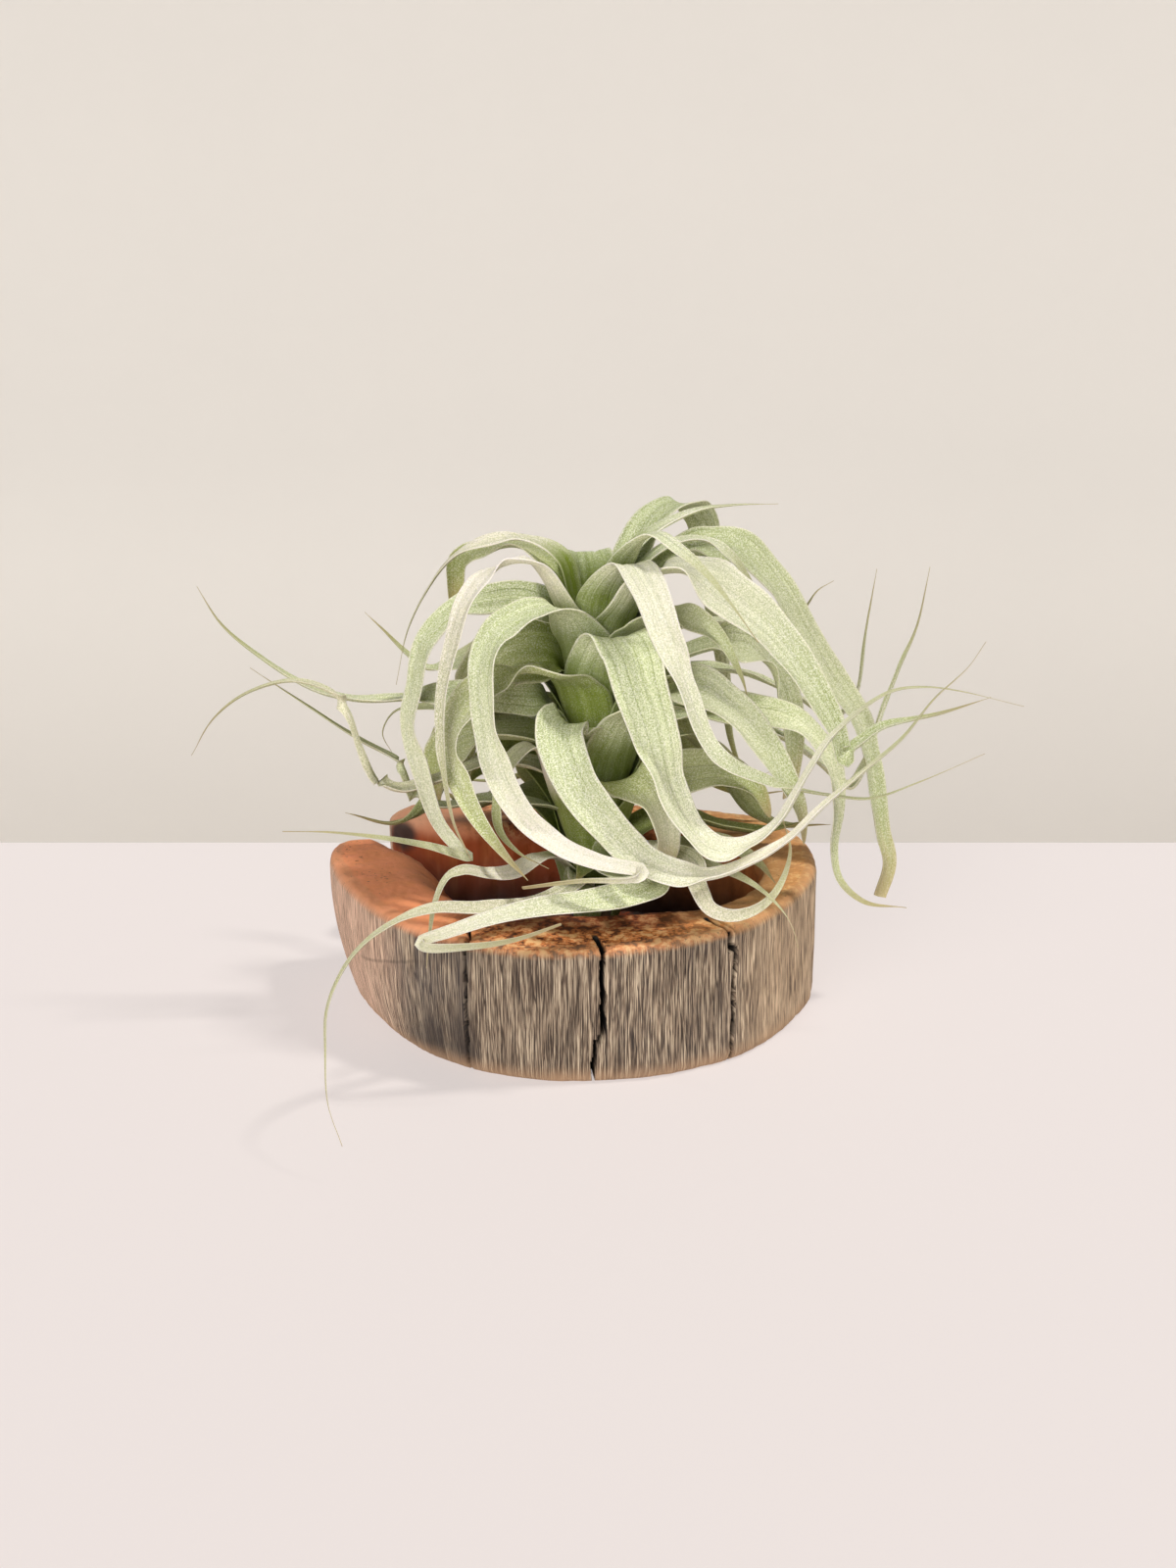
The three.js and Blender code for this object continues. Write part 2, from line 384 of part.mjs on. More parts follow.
// Stations for the rings of a leaf: closer together where it bends or twists.
function leafStations(samples) {
  const cost = [0];
  for (let k = 1; k < samples.length; k += 1) {
    const step = samples[k].length - samples[k - 1].length;
    const turn = samples[k].forward.angleTo(samples[k - 1].forward)
      + TWIST_WEIGHT * samples[k].upper.angleTo(samples[k - 1].upper);
    cost.push(cost[k - 1] + step / STATION_LENGTH + turn / STATION_TURN);
  }
  const count = Math.ceil(cost.at(-1));
  let k = 0;
  return Array.from({ length: count + 1 }, (_, n) => {
    const wanted = Math.min(cost.at(-1) * n / count, cost.at(-1));
    while (k + 2 < cost.length && cost[k + 1] < wanted) k += 1;
    const share = THREE.MathUtils.clamp((wanted - cost[k]) / (cost[k + 1] - cost[k]), 0, 1);
    const mix = (key) => samples[k][key].clone().lerp(samples[k + 1][key], share);
    const upper = mix('upper').normalize();
    return {
      place: mix('place'),
      wanted: mix('wanted').normalize(),
      upper,
      sideways: upper.clone().cross(mix('forward').normalize()).normalize(),
      length: THREE.MathUtils.lerp(samples[k].length, samples[k + 1].length, share),
    };
  });
}

// One ring of a leaf: its lower side as an arc from edge to edge, and back over its upper side.
// In the sheath the ring lies level and its arc is centred on the stem.
function leafRing(station, total, [, , rise, width, taper]) {
  const sheath = rise * SHEATH_LENGTH + FOLD_LENGTH;
  const grown = smooth(station.length / sheath);
  const foldStart = rise * SHEATH_LENGTH * FOLD_START;
  const folded = smooth((station.length - foldStart) / (sheath + FOLD_TAIL - foldStart));
  const run = THREE.MathUtils.clamp((station.length - sheath) / (total - sheath), 0, 1);
  const share = BASE_SHARE + (1 - BASE_SHARE) * grown;
  const across = Math.max(width * (1 - run) ** taper * share, TIP_WIDTH);
  const fromStem = Math.max(Math.hypot(station.place.x - AXIS_X, station.place.y), LEAST_REACH);
  const wrap = Math.min(across / fromStem, WIDEST_WRAP);
  const arc = THREE.MathUtils.lerp(wrap, BLADE_CUP + TIP_CUP * run, folded);
  const blade = (BLADE_THICKNESS - SHEATH_THICKNESS) * folded;
  const thickness = SHEATH_THICKNESS + blade - TIP_THINNING * run;
  const upper = station.wanted.clone().lerp(station.upper, folded).normalize();
  const point = (q, lift) => {
    const angle = arc * q / 2;
    const radius = across / arc;
    return station.place.clone()
      .addScaledVector(station.sideways, (radius - lift) * Math.sin(angle))
      .addScaledVector(upper, radius - (radius - lift) * Math.cos(angle));
  };
  const lower = LOWER_SIDE.map((q) => point(q, 0));
  const back = [point(LOWER_SIDE[2], thickness), point(LOWER_SIDE[1], thickness)];
  return [...lower, ...back];
}

function leafSlot(name) {
  if (ROSY.includes(name)) return 'rosy';
  return GREEN.includes(name) ? 'green' : 'silver';
}

function leaf(row, index) {
  const samples = leafSamples(leafRoute(index, row));
  const total = samples.at(-1).length;
  const rings = leafStations(samples).map((station) => leafRing(station, total, row));
  const caps = [[0, 1, 5], [1, 4, 5], [1, 2, 4], [2, 3, 4]];
  return meshOf(`leaf_${row[0]}`, loft(rings, caps), leafSlot(row[0]));
}

const plant = new THREE.Group();
plant.name = 'air_plant';
plant.add(slab(), stem());
LEAVES.forEach((row, index) => plant.add(leaf(row, index)));

export default plant;
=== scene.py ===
"""A silvery air plant in the hollow of a half-moon slice of log, as fine pieces round its CAD frame.

Each leaf is one closed ribbon, computed as a grid: stations along a midline times places across.
The slab's wall is one closed section carried along its plan, from one lobe round to the other.
Metres, Z up; the slab stands on Z = 0 and its weathered curved face looks along -Y.
"""

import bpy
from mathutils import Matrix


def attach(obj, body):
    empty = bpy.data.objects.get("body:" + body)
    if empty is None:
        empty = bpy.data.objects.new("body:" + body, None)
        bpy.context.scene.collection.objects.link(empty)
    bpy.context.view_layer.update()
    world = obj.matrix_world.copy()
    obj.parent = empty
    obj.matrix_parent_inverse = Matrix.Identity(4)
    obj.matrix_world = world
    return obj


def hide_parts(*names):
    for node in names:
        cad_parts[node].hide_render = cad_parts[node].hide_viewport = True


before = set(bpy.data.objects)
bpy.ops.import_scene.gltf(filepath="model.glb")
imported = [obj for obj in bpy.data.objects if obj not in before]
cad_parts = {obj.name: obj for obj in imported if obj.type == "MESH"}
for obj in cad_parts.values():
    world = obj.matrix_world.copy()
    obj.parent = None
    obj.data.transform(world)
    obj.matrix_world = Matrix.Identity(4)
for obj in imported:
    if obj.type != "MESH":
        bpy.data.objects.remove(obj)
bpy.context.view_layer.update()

import math

import bmesh
import bpy
import numpy as np
from bpy.props import FloatProperty, FloatVectorProperty, PointerProperty
from bpy.types import Operator, Panel, PropertyGroup
from mathutils import Vector

bl_info = {
    "name": "Air Plant on a Log Slice",
    "version": (1, 0, 0),
    "blender": (4, 5, 0),
    "location": "View3D > Sidebar > Air Plant",
    "description": "Builds an air plant that rests in a hollowed slice of log",
    "category": "Add Mesh",
}

BODY = "root"
MM = 0.001
PLANT_MIDDLE = (0.0, 0.0, 0.06)

# The slab, with lengths in millimetres, as its CAD solid has it except where a comment says so.
SLAB_NODE = "wood_slab"
SLAB_HEIGHT = 44.0
SLAB_REACH = 78.0  # from the slab's middle to its right and left ends, at the top
FOOT_PULL_X = 7.5  # how much further in the left end stands at the foot than at the top
FOOT_CURVE = 2.4  # power that keeps the left end upright at first and draws it in low down
FOOT_PULL_Y = 0.07  # share of the depth lost at the foot
FLOOR_HEIGHT = 14.0
FLOOR_CENTRE = (6.0, 5.0)
FLOOR_RADII = (60.0, 47.0)  # each 4 mm more than in the CAD, so that the floor runs into the wall
SLAB_PLAN = [
    (-77, 29), (-79, 18), (-75, 0), (-69, -15), (-62, -29), (-53, -42), (-42, -53), (-28, -61),
    (-12, -66), (5, -66), (21, -63), (37, -56), (52, -45), (64, -29), (72, -13), (77, 3), (78, 18),
    (76, 33), (71, 45), (61, 56), (45, 63), (26, 67), (6, 69), (-14, 71), (-34, 72), (-50, 71),
    (-59, 65), (-63, 56), (-60, 51), (-50, 47), (-36, 44), (-18, 44), (2, 45), (22, 44), (40, 40),
    (53, 30), (59, 14), (58, -4), (51, -19), (38, -29), (20, -34), (0, -35), (-18, -32), (-33, -24),
    (-42, -11), (-46, 4), (-49, 18), (-56, 28), (-66, 33),
]
# Each crack: where it meets the curved face, and for the visual only how far it leans over the
# slab's height and how wide it is, as a share of the crack width in the slab's settings.
CRACKS = [((-31, -59.5), -1.2, 0.85), ((9, -66), -2.6, 0.9), ((48, -47.5), -2.0, 1.05)]

# What follows belongs to the visual's slab only. Its painted recess shade and its level mark are in metres.
# Matching places on the plan's outer and inner sides, as numbers of its points: the front lobe's
# tip, the middle of the front, the right end, the middle of the back, the back lobe's tip.
OUTER_KNOTS = (-0.5, 9.0, 15.0, 22.0, 27.5)
INNER_KNOTS = (48.5, 41.0, 37.0, 32.0, 27.5)
RECESS_SHADE = (-0.0585, 0.049, 0.039)  # middle of the dark patch painted as the shade of a recess on the back lobe's tip
# The level mark on the face: its height is MARK_RISE times x plus MARK_HEIGHT.
MARK_RISE, MARK_HEIGHT = 0.55, 0.0592
EDGE_RISE = 3.0  # height of the rounding along the slab's edges
TOP_ROWS, FOOT_ROWS = 22, 5  # rows of points across the slab's top and across its foot
TIP_STEP, CRACK_STEP, FACE_STEP, BACK_STEP = 0.25, 0.17, 0.62, 1.2  # spacing along the outer side
BACK_FROM = 0.62  # share of the outer side after which its spacing is BACK_STEP
CLOSING = 3.0  # distance from a lobe's tip in which the roughness fades out
FLAT_TIP = 6.0  # distance from a lobe's tip in which the unevenness of the top fades out
SOFT_EDGE, DISH = 1.7, 4.0  # how much softer the hollow's edge is: in general, and on the front lobe
SOFT_FADE = 22.0  # distance from a lobe's tip in which that softness fades out
LOBE_SLOPE = 18.0  # how far the hollow's wall leans out from under the front lobe, at its foot
# That lean is none up to the first distance from the lobe's tip, so that the tip closes, and it is
# full from the second on.
LEAN_START, LEAN_FULL = 24.0, 60.0
# The lean grows from the top down over the first number, as the power that the second one says.
LEAN_HEIGHT, LEAN_POWER = 30.0, 0.6

# The stem and its leaves, with lengths in millimetres, as their CAD solids have them.
AXIS_X = 7.0
STEM_FOOT = 14.3
STEM_TOP = 132.0
STEM_RADIUS_LOW = 6.5
STEM_RADIUS_HIGH = 3.0
FIRST_LEAF_HEIGHT = 124.0
LEAF_STEP = 2.0
SHEATH_SLOPE = 0.38
SHEATH_GAP = 0.35
SHEATH_THICKNESS = 0.45
SHEATH_LENGTH = 1.07
FOLD_LENGTH = 8.0
FOLD_START = 0.85
FOLD_TAIL = 4.0
FACING = {"u": (0, 0, 1), "d": (0, 0, -1), "f": (0, -1, 0), "b": (0, 1, 0), "l": (-1, 0, 0), "r": (1, 0, 0)}

# Leaves from the top of the stem down: name, side of the stem in degrees, rise of the sheath,
# width, taper, and the points the blade passes, each with the way its upper side faces there.
LEAVES = [
    ("top_tip", 20, 23, 9, 1.35, ((28, 7, 153, "u"), (39, 11, 157, "u"), (49, 14, 158, "u"),
        (63, 17, 158, "u"))),
    ("outer_thread", 150, 22, 8, 1.35, ((-15, 11, 148, "u"), (-26, 14, 147, "uf"), (-37, 17, 141, "ul"),
        (-45, 18, 131, "l"), (-52, 19, 117, "l"), (-56, 19, 100, "l"))),
    ("young_tip", 305, 25, 10, 1.35, ((23, -18, 155, "u"), (32, -28, 152, "uf"), (40, -36, 146, "uf"),
        (47, -42, 138, "uf"), (53, -45, 130, "f"))),
    ("apex_back", 99, 20, 17, 1.35, ((4, 17, 142, "u"), (3, 30, 136, "bu"), (1, 46, 119, "b"),
        (0, 58, 92, "b"), (1, 66, 66, "b"), (8, 80, 49, "u"), (19, 96, 45, "u"))),
    ("pale_strip", 6, 24, 10, 1.35, ((30, 3, 148, "u"), (39, 5, 149, "u"), (48, 6, 144, "uf"),
        (56, 7, 133, "rf"), (63, 6, 122, "rf"))),
    ("crest", 296, 24, 20, 1.35, ((17, -19, 146, "u"), (22, -30, 142, "uf"), (27, -39, 131, "f"),
        (32, -46, 117, "fr"), (39, -50, 101, "fr"), (45, -50, 95, "fu"), (56, -43, 88, "uf"),
        (66, -37, 83, "u"), (76, -33, 80, "u"), (89, -30, 78, "u"), (103, -27, 82, "u"),
        (124, -20, 89, "u"))),
    ("olive_flag", 134, 24, 12, 0.8, ((-16, 19, 144, "u"), (-29, 23, 142, "uf"), (-36, 25, 139, "f"),
        (-37, 26, 132, "f"), (-37, 27, 124, "f"))),
    ("back_top", 46, 24, 18, 1.35, ((25, 17, 153, "u"), (33, 25, 156, "u"), (40, 33, 150, "bu"),
        (43, 38, 139, "b"), (46, 46, 119, "b"), (50, 52, 94, "b"), (53, 57, 70, "b"), (60, 67, 54, "bu"),
        (72, 80, 53, "u"))),
    ("rosy_arch", 217, 24, 14, 0.9, ((-12, -15, 146, "u"), (-20, -18, 146, "ul"), (-27, -23, 142, "ulf"),
        (-32, -28, 134, "lf"), (-35, -30, 123, "lf"), (-38, -32, 109, "lf"), (-38, -33, 94, "lf"),
        (-35, -36, 73, "lf"), (-30, -39, 62, "f"))),
    ("right_sweep", 326, 24, 24, 1, ((25, -13, 142, "u"), (34, -16, 144, "u"), (45, -21, 138, "uf"),
        (58, -25, 128, "rf"), (70, -28, 112, "rf"), (77, -28, 100, "rf"), (80, -28, 91, "rf"),
        (84, -27, 93, "u"), (92, -24, 98, "u"), (111, -18, 101, "u"), (126, -14, 105, "u"))),
    ("left_arch", 174, 22, 19, 1.1, ((-15, 0, 132, "uf"), (-25, -3, 132, "uf"), (-34, -5, 130, "ulf"),
        (-43, -9, 122, "lf"), (-47, -12, 108, "lf"), (-49, -14, 96, "lf"), (-46, -17, 83, "f"),
        (-41, -22, 69, "f"), (-34, -28, 61, "fu"), (-31, -32, 60, "fu"), (-42, -36, 65, "fu"),
        (-53, -38, 68, "fu"), (-71, -40, 71, "fu"), (-85, -42, 72, "fu"))),
    ("right_arch", 18, 22, 20, 0.75, ((27, 7, 140, "u"), (33, 10, 144, "u"), (42, 14, 145, "uf"),
        (52, 18, 143, "uf"), (62, 20, 133, "urf"), (71, 21, 118, "rf"), (81, 20, 102, "rf"),
        (89, 17, 91, "rf"), (93, 13, 79, "rf"), (95, 9, 67, "rf"), (97, 6, 55, "rf"), (99, 3, 46, "rf"),
        (96, 0, 36, "rf"))),
    ("great_arch", 244, 22, 22, 1.1, ((-4, -20, 133, "u"), (-14, -27, 133, "ulf"), (-22, -32, 128, "lf"),
        (-25, -37, 118, "lf"), (-24, -40, 104, "lf"), (-21, -43, 90, "f"), (-14, -47, 79, "f"),
        (-4, -52, 71, "fu"), (7, -58, 68, "fu"), (20, -63, 67, "fu"), (16, -67, 67, "fd"),
        (2, -66, 66, "fd"), (-14, -64, 63, "fd"))),
    ("rear_cascade", 88, 20, 24, 1.2, ((8, 17, 122, "u"), (7, 30, 125, "u"), (4, 47, 111, "b"),
        (0, 58, 86, "b"), (-4, 63, 66, "b"), (-16, 66, 55, "bu"), (-34, 68, 52, "u"),
        (-54, 72, 58, "u"))),
    ("shoulder_blade", 322, 24, 20, 1.35, ((21, -10, 126, "u"), (29, -14, 130, "u"), (36, -16, 129, "uf"),
        (43, -17, 124, "urf"), (50, -18, 113, "rf"), (53, -19, 104, "rf"))),
    ("far_tip_c", 42, 18, 13, 1.35, ((34, 21, 118, "u"), (50, 35, 116, "u"), (66, 48, 111, "u"),
        (75, 50, 116, "u"), (80, 51, 123, "u"), (85, 52, 126, "u"))),
    ("left_shoulder", 165, 21, 20, 1.35, ((-16, 4, 114, "uf"), (-25, 8, 107, "f"), (-30, 13, 95, "lf"),
        (-33, 15, 79, "lf"), (-34, 15, 60, "lf"))),
    ("cascade", 281, 24, 23, 1.45, ((13, -23, 125, "u"), (17, -31, 123, "fu"), (20, -39, 115, "f"),
        (24, -45, 103, "f"), (27, -50, 89, "fr"), (34, -53, 76, "fru"), (42, -53, 70, "uf"),
        (52, -51, 71, "u"), (61, -49, 78, "ul"), (69, -46, 92, "ul"), (77, -41, 102, "ul"),
        (92, -35, 112, "u"), (103, -32, 113, "u"), (114, -29, 111, "u"), (134, -24, 105, "u"))),
    ("rear_right", 66, 18, 22, 1.35, ((14, 17, 109, "u"), (20, 31, 112, "u"), (28, 44, 101, "b"),
        (36, 52, 80, "b"), (43, 53, 62, "b"), (55, 50, 53, "bu"), (72, 48, 55, "u"))),
    ("far_left_tip", 128, 19, 13, 1.35, ((-9, 23, 113, "uf"), (-24, 36, 109, "f"), (-39, 45, 100, "uf"),
        (-49, 49, 97, "u"), (-56, 51, 102, "u"), (-63, 53, 109, "u"), (-69, 54, 115, "u"))),
    ("inner_arch", 232, 24, 23, 0.85, ((-6, -16, 112, "u"), (-15, -19, 114, "ul"), (-23, -22, 111, "ulf"),
        (-30, -25, 107, "lf"), (-35, -27, 100, "lf"), (-36, -28, 92, "lf"), (-33, -31, 83, "f"),
        (-28, -35, 74, "f"), (-21, -41, 66, "f"), (-13, -48, 59, "f"))),
    ("bright_blade", 346, 24, 18, 1.35, ((32, -5, 114, "u"), (42, -6, 118, "u"), (51, -6, 119, "uf"),
        (59, -5, 113, "ur"), (65, -4, 101, "rf"), (67, -3, 84, "rf"), (66, -3, 70, "rf"))),
    ("rear_left", 146, 22, 21, 1.35, ((-17, 18, 104, "u"), (-31, 27, 96, "ulb"), (-41, 31, 76, "lb"),
        (-46, 29, 58, "lb"), (-58, 25, 51, "ul"), (-74, 22, 56, "u"))),
    ("far_tip_a", 33, 21, 14, 1.35, ((33, 19, 104, "u"), (52, 29, 101, "u"), (71, 34, 92, "u"),
        (84, 35, 84, "u"), (91, 33, 90, "ul"), (94, 31, 116, "l"), (96, 29, 135, "l"))),
    ("left_whip_a", 192, 23, 12, 1.35, ((-22, -5, 103, "f"), (-38, -4, 103, "uf"), (-54, -3, 101, "u"),
        (-66, -4, 101, "u"), (-80, -5, 105, "u"), (-99, -5, 118, "u"), (-107, -5, 126, "u"),
        (-113, -5, 137, "u"))),
    ("right_hook", 4, 17, 18, 1, ((31, -1, 98, "u"), (49, -11, 100, "uf"), (62, -14, 99, "uf"),
        (71, -17, 95, "urf"), (78, -19, 85, "rf"), (80, -20, 72, "rf"), (79, -21, 59, "rf"),
        (81, -23, 50, "rf"), (89, -24, 43, "rf"), (102, -24, 41, "uf"))),
    ("rear_bow", 102, 16, 22, 1.2, ((4, 17, 92, "u"), (-1, 28, 94, "u"), (-8, 38, 84, "b"),
        (-12, 46, 64, "b"), (-5, 51, 54, "bu"), (9, 57, 51, "u"), (24, 69, 56, "u"), (36, 83, 70, "u"))),
    ("bow", 246, 22, 20, 1.2, ((0, -20, 96, "u"), (-3, -26, 100, "fu"), (-3, -36, 97, "f"),
        (2, -44, 87, "f"), (13, -52, 75, "f"), (20, -55, 68, "fu"), (30, -57, 64, "uf"),
        (40, -57, 63, "u"), (52, -55, 67, "u"), (62, -52, 72, "ul"), (76, -47, 84, "ul"),
        (85, -44, 91, "ul"), (96, -41, 100, "ul"), (105, -38, 111, "ul"), (115, -35, 120, "ul"),
        (120, -33, 127, "ul"))),
    ("far_tip_b", 24, 17, 17, 1.35, ((31, 12, 91, "u"), (54, 18, 88, "u"), (75, 20, 76, "u"),
        (89, 20, 65, "u"), (94, 20, 72, "ul"), (98, 19, 88, "ul"), (103, 18, 105, "ul"),
        (108, 18, 119, "l"), (111, 18, 138, "l"))),
    ("left_loop", 152, 20, 9, 1.35, ((-9, 13, 92, "uf"), (-30, 19, 93, "f"), (-48, 21, 92, "uf"),
        (-57, 22, 90, "u"), (-61, 22, 83, "l"), (-58, 22, 76, "ld"))),
    ("right_fan", 302, 24, 23, 0.6, ((20, -19, 102, "u"), (29, -23, 108, "u"), (37, -28, 111, "uf"),
        (46, -31, 106, "urf"), (55, -33, 97, "rf"), (62, -34, 86, "rf"), (67, -34, 76, "rf"),
        (69, -34, 65, "rf"))),
    ("wide_shade", 176, 24, 21, 0.8, ((-23, 2, 88, "u"), (-35, 4, 85, "ulf"), (-42, 7, 74, "lf"),
        (-43, 8, 63, "lf"))),
    ("rear_right_low", 34, 18, 19, 1.35, ((21, 10, 82, "u"), (34, 17, 84, "u"), (46, 24, 72, "br"),
        (56, 26, 57, "br"), (66, 24, 51, "ubr"), (83, 19, 53, "u"))),
    ("left_whip_b", 188, 18, 13, 1.35, ((-25, -7, 82, "u"), (-42, -11, 77, "u"), (-53, -13, 75, "u"),
        (-59, -13, 78, "ul"), (-64, -13, 89, "l"), (-69, -14, 103, "ul"), (-82, -15, 110, "u"),
        (-97, -16, 107, "u"), (-108, -17, 99, "u"), (-115, -18, 88, "ul"))),
    ("centre_hook", 295, 19, 19, 0.7, ((14, -18, 79, "u"), (20, -25, 81, "uf"), (25, -30, 75, "rf"),
        (27, -33, 67, "rf"), (28, -36, 58, "f"))),
    ("rear_low", 74, 18, 20, 1.35, ((12, 16, 76, "u"), (15, 29, 79, "u"), (19, 39, 68, "b"),
        (22, 47, 56, "b"), (28, 56, 51, "bu"), (39, 71, 55, "u"))),
    ("left_whip_c", 188, 12, 11, 1.35, ((-26, -2, 68, "u"), (-41, -2, 66, "u"), (-49, -2, 70, "ul"),
        (-53, -3, 80, "ul"), (-66, -3, 88, "u"), (-81, -4, 99, "u"), (-98, -6, 112, "u"))),
    ("low_right", 345, 20, 17, 0.9, ((25, -5, 74, "u"), (36, -9, 79, "uf"), (46, -10, 80, "uf"),
        (55, -10, 75, "urf"), (61, -9, 65, "rf"))),
    ("small_cup", 232, 24, 14, 1.35, ((-12, -18, 90, "u"), (-19, -23, 86, "ulf"), (-22, -26, 77, "lf"),
        (-22, -30, 69, "f"), (-16, -35, 63, "f"), (-7, -41, 60, "uf"))),
    ("swag", 306, 9, 12, 1, ((27, -20, 58, "u"), (36, -35, 59, "uf"), (37, -47, 56, "uf"),
        (41, -53, 52, "f"), (47, -55, 51, "f"), (55, -53, 53, "f"), (61, -48, 58, "f"),
        (64, -44, 67, "f"), (62, -40, 75, "f"))),
    ("low_left", 140, 24, 15, 0.9, ((-16, 18, 76, "u"), (-28, 25, 72, "ulf"), (-39, 28, 62, "lf"))),
    ("right_base", 26, 10, 16, 1.35, ((22, 7, 56, "u"), (34, 12, 58, "u"), (48, 16, 53, "u"),
        (62, 18, 51, "u"), (77, 15, 56, "u"))),
    ("front_blade", 284, 12, 17, 0.8, ((14, -30, 54, "u"), (22, -44, 57, "uf"), (23, -54, 59, "uf"),
        (9, -62, 58, "fu"), (-7, -67, 58, "fu"), (-20, -69, 56, "fu"), (-34, -71, 52, "fu"),
        (-43, -72, 49, "fu"), (-40, -75, 49, "f"), (-26, -76, 50, "f"), (-15, -76, 52, "f"),
        (-3, -75, 56, "f"))),
    ("rear_shelf", 138, 22, 18, 1.35, ((-16, 20, 64, "u"), (-26, 30, 57, "u"), (-35, 41, 51, "u"),
        (-44, 54, 53, "u"))),
    ("low_sheath", 266, 10, 12, 0.9, ((5, -18, 52, "u"), (3, -25, 53, "uf"), (1, -31, 52, "uf"))),
    ("right_thread", 322, 20, 8, 1.35, ((32, -21, 56, "u"), (49, -39, 57, "uf"), (59, -56, 55, "uf"),
        (63, -63, 51, "rf"), (65, -66, 45, "rf"))),
    ("rear_base", 100, 14, 16, 1.35, ((4, 16, 50, "u"), (3, 28, 53, "u"), (3, 42, 51, "u"),
        (3, 58, 50, "u"), (-1, 74, 47, "u"))),
    ("hook", 226, 20, 10, 1.35, ((-9, -21, 56, "u"), (-18, -37, 57, "uf"), (-25, -46, 60, "uf"),
        (-32, -54, 64, "uf"), (-36, -58, 63, "lf"), (-39, -61, 57, "lf"), (-41, -63, 46, "lf"),
        (-42, -64, 38, "lf"))),
    ("recess_leaf", 344, 24, 14, 0.9, ((32, -6, 54, "u"), (47, -12, 57, "uf"), (57, -17, 53, "uf"),
        (62, -21, 48, "uf"))),
    ("overhang", 250, 20, 11, 1.35, ((2, -24, 49, "u"), (-10, -44, 50, "uf"), (-26, -58, 54, "uf"),
        (-40, -69, 58, "uf"), (-50, -78, 57, "ulf"), (-58, -88, 54, "lf"), (-63, -96, 49, "lf"),
        (-66, -103, 42, "lf"), (-66, -109, 34, "lf"), (-65, -117, 21, "lf"), (-61, -122, 11, "lf"))),
]
ROSY = ("rosy_arch", "outer_thread", "left_whip_b", "hook", "overhang", "swag", "recess_leaf")
GREEN = (
    "olive_flag", "inner_arch", "wide_shade", "centre_hook", "low_left", "small_cup", "left_shoulder",
    "low_right", "low_sheath", "rear_shelf", "rear_base", "rear_low", "right_base",
)
# Leaves with a rosy white stretch: how strong it is, and where along the leaf its middle lies.
BLUSH = {
    "great_arch": (0.8, 0.72), "left_arch": (0.4, 0.6), "rosy_arch": (0.7, 0.35), "bow": (0.7, 0.62),
    "cascade": (0.6, 0.62), "front_blade": (0.6, 0.75), "small_cup": (0.9, 0.35), "hook": (0.6, 0.5),
    "crest": (0.5, 0.3), "right_sweep": (0.4, 0.3), "outer_thread": (0.6, 0.6), "centre_hook": (0.5, 0.85),
}
PLAIN_BLUSH = (0.25, 0.6)
# Leaves inside or behind the rosette, with fewer scales and in painted shade: how much darker and greener
# each is.
INNER_SHADE_AND_GREEN = {
    "olive_flag": 0.2, "left_shoulder": 0.15, "wide_shade": 0.2, "low_left": 0.9, "rear_left": 0.7,
    "rear_bow": 0.8, "rear_low": 0.9, "rear_shelf": 0.8, "rear_base": 0.8, "rear_right": 0.6,
    "rear_right_low": 0.6, "rear_cascade": 0.5, "apex_back": 0.05, "far_left_tip": 0.35, "left_loop": 0.3,
    "far_tip_a": 0.15, "far_tip_b": 0.1, "far_tip_c": 0.15, "left_whip_a": 0.2, "left_whip_b": 0.2,
    "left_whip_c": 0.25, "right_base": 0.7, "centre_hook": 0.05, "low_sheath": 0.8, "low_right": 0.25,
    "small_cup": 0.1, "back_top": 0.2, "recess_leaf": 0.6, "right_hook": 0.15,
    "right_arch": 0.2, "left_arch": 0.12, "shoulder_blade": 0.35, "bright_blade": 0.25, "right_fan": 0.15,
    "right_sweep": 0.08,
}
# Shaded leaves behind the arches, which keep their width further along than their taper says.
FULL = (
    "wide_shade", "centre_hook", "low_left", "left_shoulder", "low_right", "rear_shelf", "rear_base",
    "rear_low", "right_base", "rear_left", "far_left_tip", "rear_right", "rear_bow", "rear_right_low",
    "bright_blade",
)
# Leaves that end bluntly: the share of the taper they go through.
BLUNT = {
    "great_arch": 0.85, "right_arch": 0.62, "bright_blade": 0.72, "olive_flag": 0.6, "front_blade": 0.87,
}
# Leaves whose blade is slimmer or wider than most: the share of the width left past the fold.
BLADE_WIDTH = {
    "crest": 0.66, "great_arch": 0.72, "left_arch": 0.64, "rosy_arch": 0.8, "bow": 0.86,
    "right_arch": 0.8, "young_tip": 0.8, "shoulder_blade": 0.9, "front_blade": 0.85,
    "inner_arch": 0.75, "left_shoulder": 1.4, "wide_shade": 1.35, "low_left": 1.3, "hook": 0.8,
    "overhang": 0.68,
}
# Leaves that run out to a thin end sooner or later than their CAD ones: what their taper is
# multiplied by.
THINNING = {
    "front_blade": 1.7, "far_tip_a": 0.7, "far_tip_b": 0.7, "far_tip_c": 0.7, "left_whip_a": 0.62,
    "hook": 0.6, "overhang": 0.8, "left_whip_b": 0.68, "left_whip_c": 0.75, "left_loop": 0.75,
}
FULL_THINNING = 0.65  # the same for the leaves in FULL
FULL_WIDTH, PLAIN_WIDTH = 1.15, 0.92  # width left past the fold: leaves in FULL, and the others
BLADE_CUP, TIP_CUP = 60, 55  # degrees of a blade's cup past its fold, and how many its tip adds
WIDEST_WRAP = 165  # most degrees of the stem that a sheath wraps
PLACES_ACROSS = 19
FIRST_SEED = 1000  # seed of the first leaf's random draws

